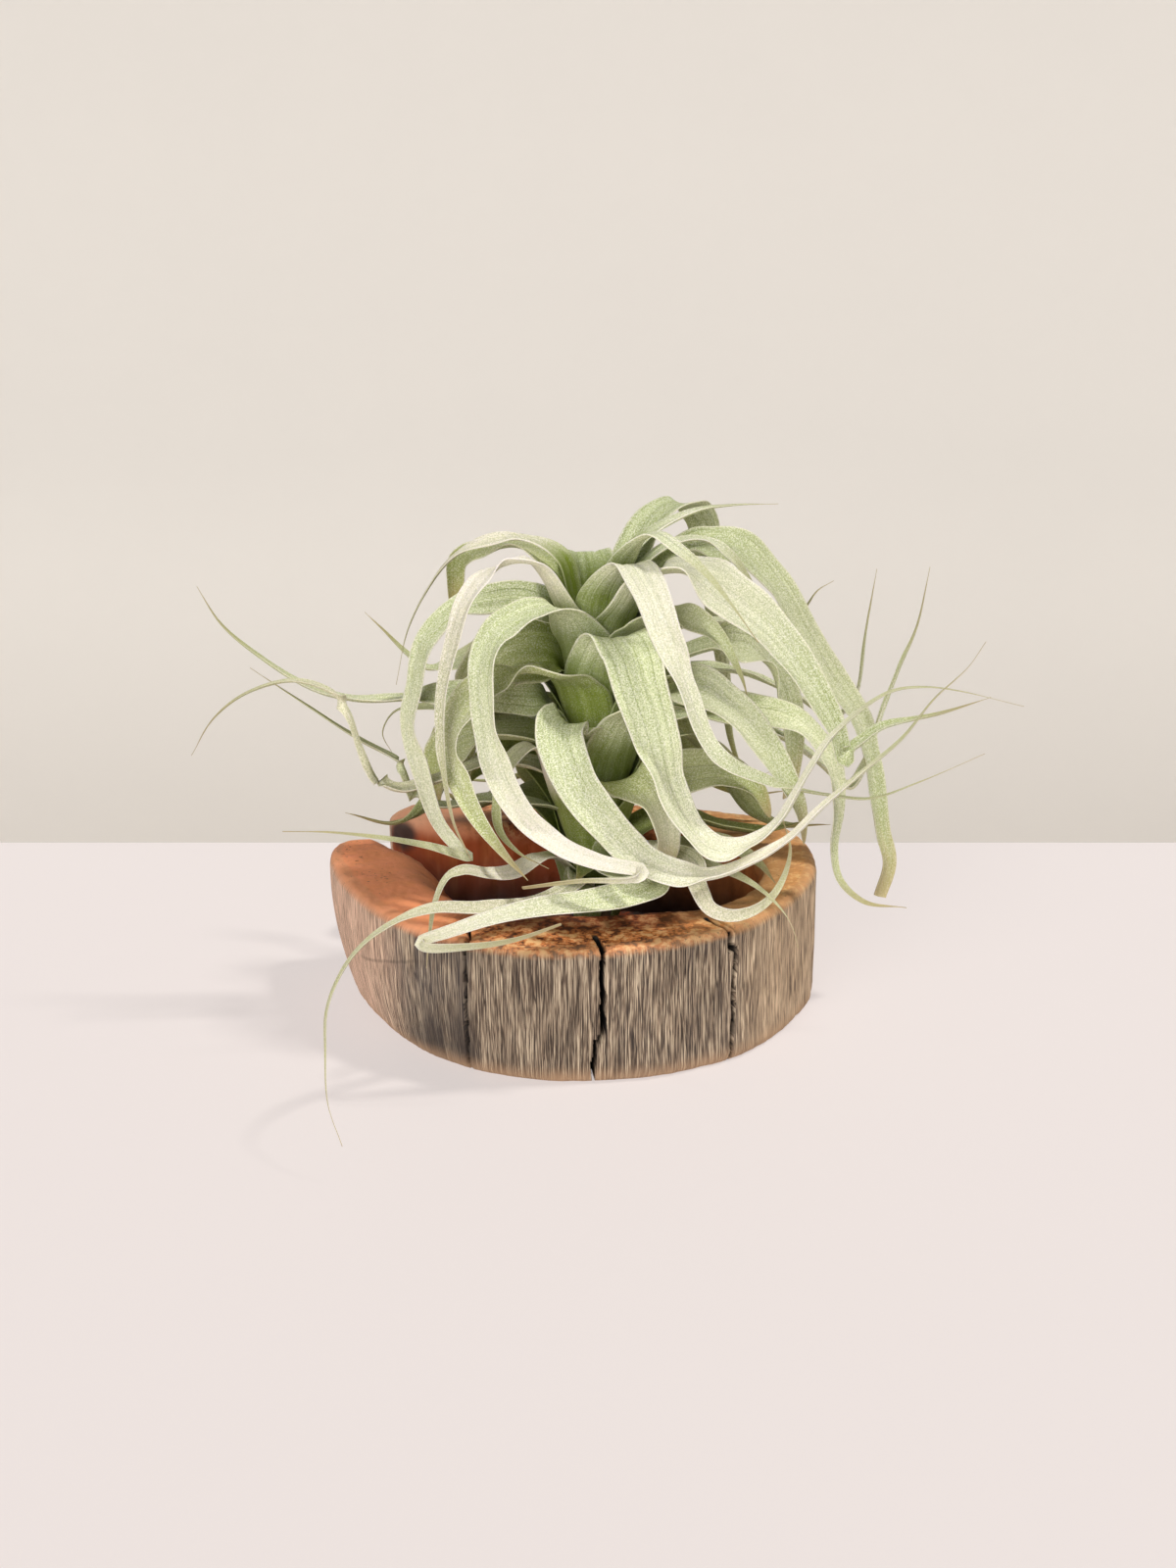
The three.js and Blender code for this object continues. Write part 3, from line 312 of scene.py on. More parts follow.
# The stage, in metres.
TABLE_X, TABLE_FRONT = (-1.6, 1.6), -2.2
BACKDROP_X, BACKDROP_Y = (-3.0, 3.0), (-2.4, 0.98)
BACKDROP_LOW, BACKDROP_RISE, BACKDROP_BEND = -0.62, 1.1, 0.12
KEY_PLACE, KEY_COLOUR, KEY_ANGLE = (0.62, -0.04, 1.2), (1.0, 0.975, 0.94), math.radians(6)
FILL_PLACE, FILL_COLOUR, FILL_ANGLE = (-0.35, -1.0, 0.55), (1.0, 0.985, 0.97), math.radians(40)


# ---------------------------------------------------------------- sizes and colours

def length(name, description, default):
    """A size in metres, shown in the scene's own unit."""
    return FloatProperty(name=name, description=description, default=default, min=0.0, subtype="DISTANCE")


def share(name, description, default):
    """A plain number from 0 up."""
    return FloatProperty(name=name, description=description, default=default, min=0.0, soft_max=1.0)


def strength(name, description, default):
    """A light's strength, from 0 up."""
    return FloatProperty(name=name, description=description, default=default, min=0.0)


def tint(name, description, default):
    """A linear colour."""
    return FloatVectorProperty(
        name=name, description=description, default=default, size=3, min=0.0, max=1.0, subtype="COLOR")


class SlabSettings(PropertyGroup):
    """Sizes and colours of the log slice."""
    rim: length("Rim", "Radius of the worn edges", 2.5 * MM)
    grain: length("Grain depth", "Depth of the weathered grain", 0.3 * MM)
    crack_width: length("Crack width", "Half the width of a crack, before its own share", 1.2 * MM)
    crack_depth: length("Crack depth", "How far the cracks run in from the face", 9 * MM)
    weathered: tint("Weathered", "Grey brown of the weathered face", (0.24, 0.165, 0.11))
    streak: tint("Streak", "Near-black streaks in the grain", (0.05, 0.036, 0.028))
    bleached: tint("Bleached", "Pale streaks in the grain", (0.82, 0.66, 0.47))
    slate: tint("Slate", "Bluish patches", (0.085, 0.083, 0.088))
    pale: tint("Pale", "Pinkish tan of the face's left end", (0.87, 0.55, 0.40))
    straw: tint("Straw", "Yellow tan of the face's right end", (0.84, 0.60, 0.38))
    pink: tint("Pink", "Smooth pinkish red of the front lobe's top", (0.93, 0.335, 0.175))
    fresh: tint("Fresh", "Orange tan of the top", (0.74, 0.28, 0.085))
    sand: tint("Sand", "Tan of the worn foot", (0.50, 0.31, 0.18))
    crumb: tint("Crumb", "Pale worn specks of the top", (0.95, 0.64, 0.34))
    ochre: tint("Ochre", "Tan of the top's right end", (0.80, 0.50, 0.22))
    # Painted shade of the leaves on the top beside the hollow
    hollow_side_shade: tint("Scorch", "Reddish brown of the top beside the hollow", (0.20, 0.045, 0.014))
    # Near-black specks, partly real and partly painted shadow of the leaves
    specks_and_shade: tint("Soot", "Near-black specks of the rough top", (0.055, 0.013, 0.004))
    umber: tint("Umber", "Dull brown of the back lobe's top", (0.33, 0.19, 0.12))
    # Painted shade of the leaves over the rough top
    rough_shade: tint("Aged", "What the rough top's colour is multiplied by", (0.86, 0.78, 0.62))
    ash: tint("Ash", "Crumbs on the hollow's floor", (0.05, 0.03, 0.02))
    ember: tint("Ember", "Orange red of the hollow's wall", (0.30, 0.052, 0.007))
    # Also painted shade: low in the hollow and over its floor
    dark: tint("Dark", "Depth of the hollow", (0.022, 0.012, 0.009))
    # Painted shade inside the cracks
    void: tint("Void", "Inside of the cracks", (0.005, 0.004, 0.003))


class StemSettings(PropertyGroup):
    """Sizes and colours of the stem."""
    scar: length("Scar depth", "How deep the rings of old leaf bases are", 0.5 * MM)
    husk: tint("Husk", "Dry brown of the old leaf bases", (0.20, 0.13, 0.07))
    living: tint("Living", "Olive green nearer the top", (0.22, 0.24, 0.10))
    paper: tint("Paper", "Papery rings", (0.42, 0.32, 0.2))
    spot: tint("Spot", "Dark spots", (0.07, 0.045, 0.03))


class LeafSettings(PropertyGroup):
    """Sizes and colours of the leaves."""
    thickness: length("Thickness", "Thickness of a blade along its middle", 1.05 * MM)
    margin: length("Margin", "Thickness at a blade's edges", 0.4 * MM)
    ripple: length("Ripple", "How far the edges wave", 0.45 * MM)
    crease: length("Crease", "Depth of the folds that run along a blade", 0.4 * MM)
    swell: share("Swell", "Widening of a sheath above its foot", 0.3)
    silver: tint("Silver", "Pale scaly green of the silver leaves", (0.74, 0.79, 0.505))
    sage: tint("Sage", "Scaly green of the greener leaves", (0.56, 0.61, 0.25))
    rosy: tint("Rosy", "Pale rosy green of the dry leaves", (0.80, 0.76, 0.58))
    cup: tint("Cup", "Smooth green inside the sheaths", (0.19, 0.25, 0.022))
    fleck: tint("Fleck", "White of the scales", (0.97, 0.95, 0.85))
    blush: tint("Blush", "Rosy white of the margins and arches", (0.92, 0.84, 0.76))
    dry: tint("Dry", "Tan of the dry tips", (0.42, 0.30, 0.16))
    # Painted shade and greening of the inner leaves
    shaded: tint("Shaded", "What an inner leaf's colour is multiplied by", (0.36, 0.40, 0.15))
    # Painted shade deep in the sheaths
    sheath_shade: tint("Well", "Dark green deep in the sheaths", (0.03, 0.045, 0.003))
    olive: tint("Olive", "Olive of the long thin ends", (0.43, 0.42, 0.23))


class StageSettings(PropertyGroup):
    """Camera, light, table and backdrop."""
    lens: FloatProperty(name="Lens", description="Focal length on a 36 mm frame", default=49.5, min=1.0)
    camera_x: FloatProperty(name="Camera X", description="Camera place along X", default=0.00465)
    camera_back: length("Camera back", "How far in front of the slab the camera stands", 0.64)
    camera_height: length("Camera height", "Height of the camera above the table", 0.281)
    pitch: FloatProperty(
        name="Pitch", description="How far the camera looks down", default=math.radians(18), subtype="ANGLE")
    table_edge: length("Table edge", "Distance from the slab's middle to the table's back edge", 0.151)
    key: strength("Key", "Strength of the key light", 2.1)
    fill: strength("Fill", "Strength of the light from the front", 2.5)
    ambient: strength("Ambient", "Strength of the even light", 0.14)
    table: tint("Table", "Pinkish grey of the table under its glow", (0.27, 0.245, 0.235))
    glow: tint("Glow", "Light that the table gives off, as white paper seems to", (0.555, 0.506, 0.491))
    wall: tint("Backdrop", "Warm light grey of the backdrop", (0.735, 0.70, 0.655))
    haze: tint("Haze", "Colour of the even light", (1.0, 0.985, 0.97))


SETTINGS = {
    "air_plant_slab": SlabSettings, "air_plant_stem": StemSettings,
    "air_plant_leaves": LeafSettings, "air_plant_stage": StageSettings,
}


# ---------------------------------------------------------------- number work

def smooth(value):
    """Eases from 0 to 1: three t squared minus two t cubed, with t held between 0 and 1."""
    t = np.clip(value, 0.0, 1.0)
    return t * t * (3.0 - 2.0 * t)


def lerp(low, high, part):
    return low + (high - low) * part


def unit(vectors):
    """Vectors along the last axis, each divided by its length."""
    return vectors / np.maximum(np.linalg.norm(vectors, axis=-1, keepdims=True), 1e-9)


def noise(x, y, seed):
    """Smooth noise from -1 to 1: random values on a unit lattice, eased between its corners."""
    table = np.random.default_rng(seed).uniform(-1.0, 1.0, 8192)
    column, row = np.floor(x).astype(np.int64), np.floor(y).astype(np.int64)
    part_x, part_y = smooth(x - column), smooth(y - row)

    def corner(i, j):
        return table[((column + i) * 7919 + (row + j) * 104729) % len(table)]

    low = lerp(corner(0, 0), corner(1, 0), part_x)
    high = lerp(corner(0, 1), corner(1, 1), part_x)
    return lerp(low, high, part_y)


def catmull(points, steps, closed=False):
    """Centripetal Catmull-Rom curve: a cubic between each two points, whose end slopes weigh the
    neighbouring spans by the square roots of their lengths."""
    points = np.asarray(points, float)
    if closed:
        padded = np.vstack([points[-1:], points, points[:2]])
    else:
        padded = np.vstack([2 * points[0] - points[1], points, 2 * points[-1] - points[-2]])
    p0, p1, p2, p3 = padded[:-3], padded[1:-2], padded[2:-1], padded[3:]
    spans = ((p0, p1), (p1, p2), (p2, p3))
    d0, d1, d2 = (np.linalg.norm(b - a, axis=1, keepdims=True) ** 0.5 for a, b in spans)
    slope1 = ((p1 - p0) / d0 - (p2 - p0) / (d0 + d1) + (p2 - p1) / d1) * d1
    slope2 = ((p2 - p1) / d1 - (p3 - p1) / (d1 + d2) + (p3 - p2) / d2) * d1
    square = -3 * p1 + 3 * p2 - 2 * slope1 - slope2
    cube = 2 * p1 - 2 * p2 + slope1 + slope2
    t = (np.arange(steps) / steps)[None, :, None]
    curve = p1[:, None] + slope1[:, None] * t + square[:, None] * t ** 2 + cube[:, None] * t ** 3
    return np.vstack([curve.reshape(-1, points.shape[1]), points[:1] if closed else points[-1:]])


def running_length(points):
    steps = np.linalg.norm(np.diff(points, axis=0), axis=1)
    return np.concatenate([[0.0], np.cumsum(steps)])


def resample(values, places):
    """Rows of values at fractional row numbers."""
    rows = np.arange(len(values))
    return np.stack([np.interp(places, rows, column) for column in values.T], axis=1)


# ---------------------------------------------------------------- meshes

def loft_faces(stations, size):
    """Quads between closed rings of equal size, one ring after the other."""
    first = np.arange(stations - 1)[:, None] * size
    place = np.arange(size)[None, :]
    after = (place + 1) % size
    corners = [first + place, first + after, first + size + after, first + size + place]
    return np.stack(corners, -1).reshape(-1, 4)


def cap_faces(size, last, low, high):
    """Fans that close the first and the last ring on the points numbered low and high."""
    place = np.arange(size)
    after = (place + 1) % size
    foot = np.stack([after, place, np.full(size, low)], -1)
    tip = np.stack([last + place, last + after, np.full(size, high)], -1)
    return np.vstack([foot, tip])


def fill_mesh(name, points, quads, triangles, attributes):
    """A smooth mesh from points in millimetres, with one float attribute for each named array."""
    corners = np.concatenate([quads.ravel(), triangles.ravel()]).astype(np.int32)
    sizes = np.concatenate([np.full(len(quads), 4), np.full(len(triangles), 3)])
    starts = (np.cumsum(sizes) - sizes).astype(np.int32)
    mesh = bpy.data.meshes.new(name)
    mesh.vertices.add(len(points))
    mesh.vertices.foreach_set("co", (points * MM).astype(np.float32).ravel())
    mesh.loops.add(len(corners))
    mesh.loops.foreach_set("vertex_index", corners)
    mesh.polygons.add(len(sizes))
    mesh.polygons.foreach_set("loop_start", starts)
    mesh.update(calc_edges=True)
    for key, values in attributes.items():
        layer = mesh.attributes.new(key, "FLOAT", "POINT")
        layer.data.foreach_set("value", np.asarray(values, np.float32).ravel())
    mesh.polygons.foreach_set("use_smooth", np.ones(len(sizes), bool))
    mesh.validate()
    return mesh


def add_piece(mesh, material, slot, *nodes):
    """Puts a mesh into the scene as a piece that stands for CAD nodes and rides on their body."""
    mesh.materials.append(material)
    piece = bpy.data.objects.new(mesh.name, mesh)
    bpy.context.scene.collection.objects.link(piece)
    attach(piece, BODY)
    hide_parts(*nodes)


def merge_doubles(mesh, distance=1e-6):
    """Joins points that coincide, as where a section shrinks to a line."""
    work = bmesh.new()
    work.from_mesh(mesh)
    bmesh.ops.remove_doubles(work, verts=work.verts, dist=distance)
    bmesh.ops.recalc_face_normals(work, faces=work.faces)
    work.to_mesh(mesh)
    work.free()


# ---------------------------------------------------------------- shader maths

class Value:
    """A socket of a material's tree that takes part in Python arithmetic."""

    def __init__(self, tree, socket):
        self.tree = tree
        self.socket = socket

    def __add__(self, other):
        return self.tree.maths("ADD", self, other)

    def __sub__(self, other):
        return self.tree.maths("SUBTRACT", self, other)

    def __rsub__(self, other):
        return self.tree.maths("SUBTRACT", other, self)

    def __mul__(self, other):
        return self.tree.maths("MULTIPLY", self, other)

    __radd__ = __add__


class Tree:
    """The nodes of one material, ending in a Principled shader. Its mixes look up the colours
    that they name in the settings."""

    def __init__(self, name, settings=None):
        self.settings = settings
        self.material = bpy.data.materials.new(name)
        self.material.use_nodes = True
        self.nodes = self.material.node_tree.nodes
        self.links = self.material.node_tree.links
        self.nodes.clear()
        self.shader = self.add("ShaderNodeBsdfPrincipled")
        self.add("ShaderNodeOutputMaterial", {}, {"Surface": self.shader.outputs["BSDF"]})

    def add(self, kind, settings=None, sockets=None):
        """A node of a kind: its settings first, then the value or link of each named socket."""
        node = self.nodes.new(kind)
        for key, value in (settings or {}).items():
            setattr(node, key, value)
        for key, value in (sockets or {}).items():
            self.feed(node.inputs[key], value)
        return node

    def feed(self, socket, value):
        if isinstance(value, Value):
            value = value.socket
        if isinstance(value, bpy.types.NodeSocket):
            self.links.new(value, socket)
        else:
            socket.default_value = value

    def maths(self, operation, *values, clamp=False):
        sockets = dict(enumerate(values))
        node = self.add("ShaderNodeMath", {"operation": operation, "use_clamp": clamp}, sockets)
        return Value(self, node.outputs[0])

    def held(self, value):
        """The value, held between 0 and 1."""
        return self.maths("ADD", value, 0.0, clamp=True)

    def step(self, value, low, high):
        """Eases from 0 where value is low to 1 where it is high."""
        settings = {"interpolation_type": "SMOOTHSTEP"}
        node = self.add("ShaderNodeMapRange", settings, {0: value, 1: low, 2: high, 3: 0.0, 4: 1.0})
        return Value(self, node.outputs[0])

    def attribute(self, name):
        return Value(self, self.add("ShaderNodeAttribute", {"attribute_name": name}).outputs["Fac"])

    def place(self, scale=(1.0, 1.0, 1.0)):
        """Object coordinates in metres, times a scale for each axis."""
        here = self.add("ShaderNodeTexCoord").outputs["Object"]
        return self.add("ShaderNodeMapping", {}, {"Vector": here, "Scale": scale}).outputs[0]

    def axis(self, name):
        here = self.add("ShaderNodeTexCoord").outputs["Object"]
        return Value(self, self.add("ShaderNodeSeparateXYZ", {}, {0: here}).outputs[name])

    def vector(self, x, y, z=0.0):
        return self.add("ShaderNodeCombineXYZ", {}, {0: x, 1: y, 2: z}).outputs[0]

    def noise(self, vector, scale=1.0, detail=2.0, roughness=0.5):
        sockets = {"Vector": vector, "Scale": scale, "Detail": detail, "Roughness": roughness}
        return Value(self, self.add("ShaderNodeTexNoise", {}, sockets).outputs["Fac"])

    def colour(self, value):
        """A colour as a mix takes it, from the name of a setting, three numbers or a socket."""
        if isinstance(value, str):
            value = colour_of(self.settings, value)
        return (*value, 1.0) if isinstance(value, tuple) else value

    def mix(self, part, first, second, blend="MIX"):
        """A colour part of the way from the first to the second."""
        settings = {"data_type": "RGBA", "blend_type": blend, "clamp_factor": True}
        sockets = {0: part, 6: self.colour(first), 7: self.colour(second)}
        return self.add("ShaderNodeMix", settings, sockets).outputs[2]

    def bump(self, height, distance, strength=1.0):
        sockets = {"Height": height, "Distance": distance, "Strength": strength}
        return self.add("ShaderNodeBump", {}, sockets).outputs["Normal"]

    def finish(self, **sockets):
        """Feeds the Principled shader; underscores in a name stand for spaces."""
        for key, value in sockets.items():
            self.feed(self.shader.inputs[key.replace("_", " ")], value)
        return self.material


def colour_of(settings, key):
    return tuple(getattr(settings, key))


# ---------------------------------------------------------------- materials

def leaf_material(name, face, settings):
    """Scaly leaf skin: fine lengthwise strands, white flecks, pale margins, dry tip, greener cups, and
    painted shade in the creases, deep in the sheaths and on the inner leaves.
    """
    tree = Tree(name, settings)
    lane, run = tree.attribute("lane"), tree.attribute("run")
    across, along = tree.attribute("across"), tree.attribute("along")
    blade, upper, tone = tree.attribute("blade"), tree.attribute("upper"), tree.attribute("tone")
    offset = tone * 7.0
    strands = tree.noise(tree.vector(lane * 1900.0, run * 30.0, offset), 1.0, 3.0, 0.65)
    bands = tree.noise(tree.vector(lane * 330.0, run * 9.0, offset), 1.0, 2.0)
    mottle = tree.noise(tree.place(), 240.0, 3.0, 0.6)
    scales = tree.noise(tree.place(), 2300.0, 2.0, 0.75)
    edge = tree.maths("ABSOLUTE", across)

    inside = upper * (1.0 - blade)
    cover = 0.06 + blade * 0.80 + (1.0 - upper) * 0.15
    cover = tree.held(cover + (mottle - 0.5) * 0.3 + (bands - 0.5) * 0.65)
    colour = tree.mix(cover, "cup", face)
    shade = tree.held(tree.step(strands, 0.25, 0.75) * 0.30 + 0.74 + (tone - 0.5) * 0.16)
    colour = tree.mix(1.0, colour, tree.vector(shade, shade, shade * 0.96), "MULTIPLY")
    pit = tree.step(scales, 0.52, 0.36) * cover
    colour = tree.mix(pit * 0.6, colour, "cup")
    # Thin lengthwise creases, pressed in and painted darker green as the shade in them.
    folds = tree.noise(tree.vector(lane * 420.0, run * 4.0, offset + 3.0), 1.0, 1.0)
    crease_shade = tree.step(tree.maths("ABSOLUTE", folds - 0.5), 0.030, 0.004)
    colour = tree.mix(crease_shade * 0.42, colour, "cup")
    fleck = tree.step(scales, 0.50, 0.64) * tree.held(cover * 0.9 + 0.1)
    colour = tree.mix(fleck * 0.65, colour, "fleck")
    rosy = tree.held(tree.attribute("blush") * (0.55 + bands * 0.9) * (0.45 + scales))
    colour = tree.mix(rosy, colour, "blush")
    margin = tree.step(edge + (scales - 0.5) * 0.12, 0.88, 1.0)
    colour = tree.mix(margin * (0.12 + blade * 0.33), colour, "blush")
    colour = tree.mix(tree.attribute("thin") * (0.55 + mottle * 0.5), colour, "olive")
    # Inner and rear leaves: darker and greener, partly as painted shade.
    shaded = tree.mix(1.0, colour, "shaded", "MULTIPLY")
    colour = tree.mix(tree.attribute("deep"), colour, shaded)
    dry = tree.step(along + (bands - 0.5) * 0.12, 0.82, 1.02)
    colour = tree.mix(dry * 0.75, colour, "dry")
    # Painted shade: darker green down in the sheaths, towards the stem.
    depth = tree.held((1.2 - along * 5.0) * inside)
    colour = tree.mix(depth * 0.9, colour, "sheath_shade")

    height = strands * 0.6 + scales * 0.5 * cover + bands * 0.5 - crease_shade * 0.7
    return tree.finish(
        Base_Color=colour,
        Roughness=0.52 + cover * 0.26 - inside * 0.06,
        Normal=tree.bump(height, 0.22 * MM, 0.55),
        Subsurface_Weight=0.22,
        Subsurface_Radius=(1.0, 1.1, 0.45),
        Subsurface_Scale=1.6 * MM,
        Specular_IOR_Level=0.2,
    )


def wood_face(tree, arc, place, fine, grain, patch):
    """Colour of the weathered face: light and dark grain, slate and burnt patches, tan ends and a
    faint level mark."""
    x, y, z = place
    strip = tree.noise(tree.vector(arc * 240.0, z * 45.0, 5.0), 1.0, 2.0)
    split = tree.maths("ABSOLUTE", tree.noise(tree.vector(arc * 620.0, z * 20.0, 11.0), 1.0, 1.0) - 0.5)
    broad = tree.noise(tree.vector(arc * 120.0, z * 9.0, 7.0), 1.0, 2.0)
    light_lines = tree.step(fine * 0.5 + grain * 0.5, 0.47, 0.60) * (strip * 2.0 - 0.25)
    grey = tree.mix(tree.held(light_lines), "weathered", "bleached")
    dark_lines = tree.step(grain * 0.55 + fine * 0.45, 0.52, 0.42) * (1.9 - strip * 1.7)
    grey = tree.mix(tree.held(dark_lines), grey, "streak")
    grey = tree.mix(tree.step(split, 0.022, 0.004) * 0.8, grey, "dark")
    by_first_crack = tree.step(x, -0.062, -0.045) * tree.step(x, -0.024, -0.033)
    slate_zone = by_first_crack + tree.step(x, 0.004, 0.02) * 0.3
    slate = tree.held(slate_zone * tree.step(broad + patch, 0.78, 1.12))
    grey = tree.mix(slate * 0.4, grey, "slate")
    between_cracks = tree.step(x, 0.014, 0.0) * tree.step(x, -0.045, -0.035)
    grey = tree.mix(between_cracks * 0.22, grey, "streak")
    burnt = tree.step(x, -0.060, -0.040) * tree.step(x, -0.026, -0.031) * tree.step(z, 0.034, 0.002)
    grey = tree.mix(tree.held(burnt * (0.3 + broad)), grey, "streak")
    left_to_right = tree.step(x, -0.01, 0.01)
    end_colour = tree.mix(left_to_right, "pale", "straw")
    end_lines = tree.held(tree.step(fine, 0.54, 0.40) * 0.6 + dark_lines * 0.35)
    ends = tree.held(tree.step(x, -0.046, -0.068) + tree.step(x, 0.044, 0.064) * 0.75)
    end_grain = tree.mix(end_lines, end_colour, "weathered")
    grey = tree.mix(ends * tree.held(0.45 + patch * 0.6), grey, end_grain)
    off_mark = tree.maths("ABSOLUTE", z - x * MARK_RISE - MARK_HEIGHT)
    mark = tree.step(off_mark, 0.0009, 0.0002) * tree.step(x, -0.044, -0.049)
    mark = mark * tree.step(x, -0.068, -0.063) * tree.step(y, 0.010, -0.005)
    return tree.mix(mark * 0.35, grey, "streak")


def wood_top(tree, inner, place, rough, swirl, coarse, patch, dust):
    """Colour of the top: smooth and pinkish on the front lobe, elsewhere rough orange tan with pale
    and dark specks, with the leaves' shade painted beside the hollow, ochre at the right end, dull on the
    back lobe."""
    x, y, _ = place
    rings = tree.add("ShaderNodeTexWave", {"wave_type": "RINGS", "rings_direction": "Z"}, {
        "Vector": tree.vector(x - 0.012, y - 0.055), "Scale": 120.0, "Distortion": 2.5, "Detail": 2.0})
    ring = Value(tree, rings.outputs["Fac"])
    pinkness = tree.held(swirl * 0.9 + 0.2 - rough * 0.5)
    tan = tree.mix(pinkness, "fresh", "pink")
    tan = tree.mix(ring * (0.04 + rough * 0.2), tan, "ember")
    # Painted shade of the leaves over the top's half by the hollow.
    hollow_side_shade = tree.held(inner * (0.35 + coarse * 1.1)) * (0.08 + rough * 0.87)
    tan = tree.mix(hollow_side_shade, tan, "hollow_side_shade")
    crumbs = tree.step(coarse, 0.50, 0.62) * rough * (0.85 - inner * 0.55)
    tan = tree.mix(crumbs, tan, "crumb")
    right_end = tree.step(x, 0.020, 0.058)
    # Near-black specks of the rough top, partly real and partly painted leaf shadow.
    speckle = tree.step(coarse, 0.51, 0.39) * (0.04 + rough * 0.88) * (1.0 - right_end * 0.8)
    tan = tree.mix(speckle, tan, "specks_and_shade")
    tan = tree.mix(right_end * 0.5, tan, "ochre")
    tan = tree.mix(tree.step(dust + patch * 0.5, 0.90, 1.05) * 0.7, tan, "dark")
    # Painted shade: the rough top darker and warmer, for the leaves' shadow over it.
    rough_shade = tree.mix(1.0, tan, "rough_shade", "MULTIPLY")
    tan = tree.mix(rough * 0.75, tan, rough_shade)
    back_lobe = tree.step(y, 0.040, 0.050) * tree.step(x, -0.020, -0.045)
    return tree.mix(back_lobe * tree.held(0.3 + patch * 0.7), tan, "umber")


def wood_hollow(tree, place, swirl, patch):
    """Colour of the hollow's wall: ember red, fresher orange in swirls and, as painted light, towards the
    right, and near black low down as painted shade.
    """
    x, _, z = place
    # Painted light: fresher orange towards the right, with random swirls.
    light_and_swirl = tree.held(tree.step(swirl, 0.45, 0.75) * 0.3 + tree.step(x, 0.0, 0.03) * 0.55)
    ember = tree.mix(light_and_swirl, "ember", "fresh")
    # Painted shade: near black low in the hollow.
    return tree.mix(tree.step(z + patch * 0.012, 0.042, 0.020) * 0.97, ember, "dark")


def wood_material(settings):
    """The slab: weathered face, tan top and ember hollow, with worn edges, painted shade of a recess on the
    back lobe's tip, and the cracks, painted near black inside as shade.
    """
    tree = Tree("log_slice_wood", settings)
    arc, face, top = tree.attribute("arc"), tree.attribute("face"), tree.attribute("top")
    hollow, crack, worn = tree.attribute("hollow"), tree.attribute("crack"), tree.attribute("worn")
    inner = tree.attribute("inner")
    place = tree.axis("X"), tree.axis("Y"), tree.axis("Z")
    x, y, z = place
    fine = tree.noise(tree.vector(arc * 4200.0, z * 110.0), 1.0, 2.0, 0.6)
    grain = tree.noise(tree.vector(arc * 2300.0, z * 42.0, 3.0), 1.0, 3.0, 0.65)
    patch = tree.noise(tree.place(), 55.0, 3.0, 0.55)
    dust = tree.noise(tree.place(), 900.0, 2.0, 0.6)
    swirl = tree.noise(tree.vector(x * 160.0, y * 160.0, 2.0), 1.0, 3.0, 0.6)
    coarse = tree.noise(tree.place(), 330.0, 3.0, 0.65)
    rough = tree.step(x, -0.045, -0.020)

    tan = wood_top(tree, inner, place, rough, swirl, coarse, patch, dust)
    colour = tree.mix(top, wood_face(tree, arc, place, fine, grain, patch), tan)
    colour = tree.mix(hollow, colour, wood_hollow(tree, place, swirl, patch))
    bare = tree.held(worn * (0.25 + patch * 0.9) * (0.6 + fine * 0.8))
    edge = tree.mix(tree.step(z, 0.02, 0.03) * 0.55, "sand", tan)
    colour = tree.mix(bare, colour, edge)
    # Painted shade of a recess on the back lobe's tip: a dark round patch.
    to_recess = tree.add("ShaderNodeVectorMath", {"operation": "DISTANCE"}, {0: tree.place(), 1: RECESS_SHADE})
    from_recess = Value(tree, to_recess.outputs["Value"])
    recess_mask = tree.step(from_recess + patch * 0.006, 0.0105, 0.0065) * 0.95
    colour = tree.mix(recess_mask, colour, "dark")
    # Painted shade inside the cracks: near black.
    colour = tree.mix(crack, colour, "void")
    relief = (fine * 0.7 + grain) * face * 1.2 + dust * 0.25
    relief = relief + coarse * rough * top * 1.1 + swirl * 0.3 * top
    return tree.finish(
        Base_Color=colour,
        Roughness=0.86 - top * 0.2 - hollow * 0.06 + dust * 0.1,
        Normal=tree.bump(relief, 0.5 * MM, 0.7),
        Specular_IOR_Level=0.35,
    )


def floor_material(settings):
    """Bottom of the hollow, painted near black as the shade under the plant, with coarse fibres and crumbs.
    """
    tree = Tree("log_slice_hollow_floor", settings)
    fibre = tree.noise(tree.place((220.0, 60.0, 60.0)), 1.0, 3.0, 0.7)
    crumbs = tree.noise(tree.place(), 420.0, 3.0, 0.7)
    # Painted shade: the floor is mostly near black.
    colour = tree.mix(tree.step(fibre, 0.4, 0.75), "dark", "ember")
    colour = tree.mix(tree.step(crumbs, 0.45, 0.6), colour, "ash")
    return tree.finish(
        Base_Color=colour, Roughness=0.9 - crumbs * 0.1, Normal=tree.bump(crumbs + fibre, 1.0 * MM, 0.8))


def stem_material(settings):
    """Husky brown low down, olive near the top, with papery rings."""
    tree = Tree("stem_husk", settings)
    z = tree.axis("Z")
    rings = tree.noise(tree.place((60.0, 60.0, 900.0)), 1.0, 3.0, 0.6)
    spots = tree.noise(tree.place(), 500.0, 3.0, 0.6)
    colour = tree.mix(tree.step(z, 0.03, 0.1), "husk", "living")
    colour = tree.mix(tree.step(rings, 0.5, 0.7) * 0.5, colour, "paper")
    colour = tree.mix(tree.step(spots, 0.55, 0.7) * 0.5, colour, "spot")
    husks = tree.bump(rings + spots * 0.5, 0.6 * MM, 0.8)
    return tree.finish(Base_Color=colour, Roughness=0.75 + spots * 0.15, Normal=husks)


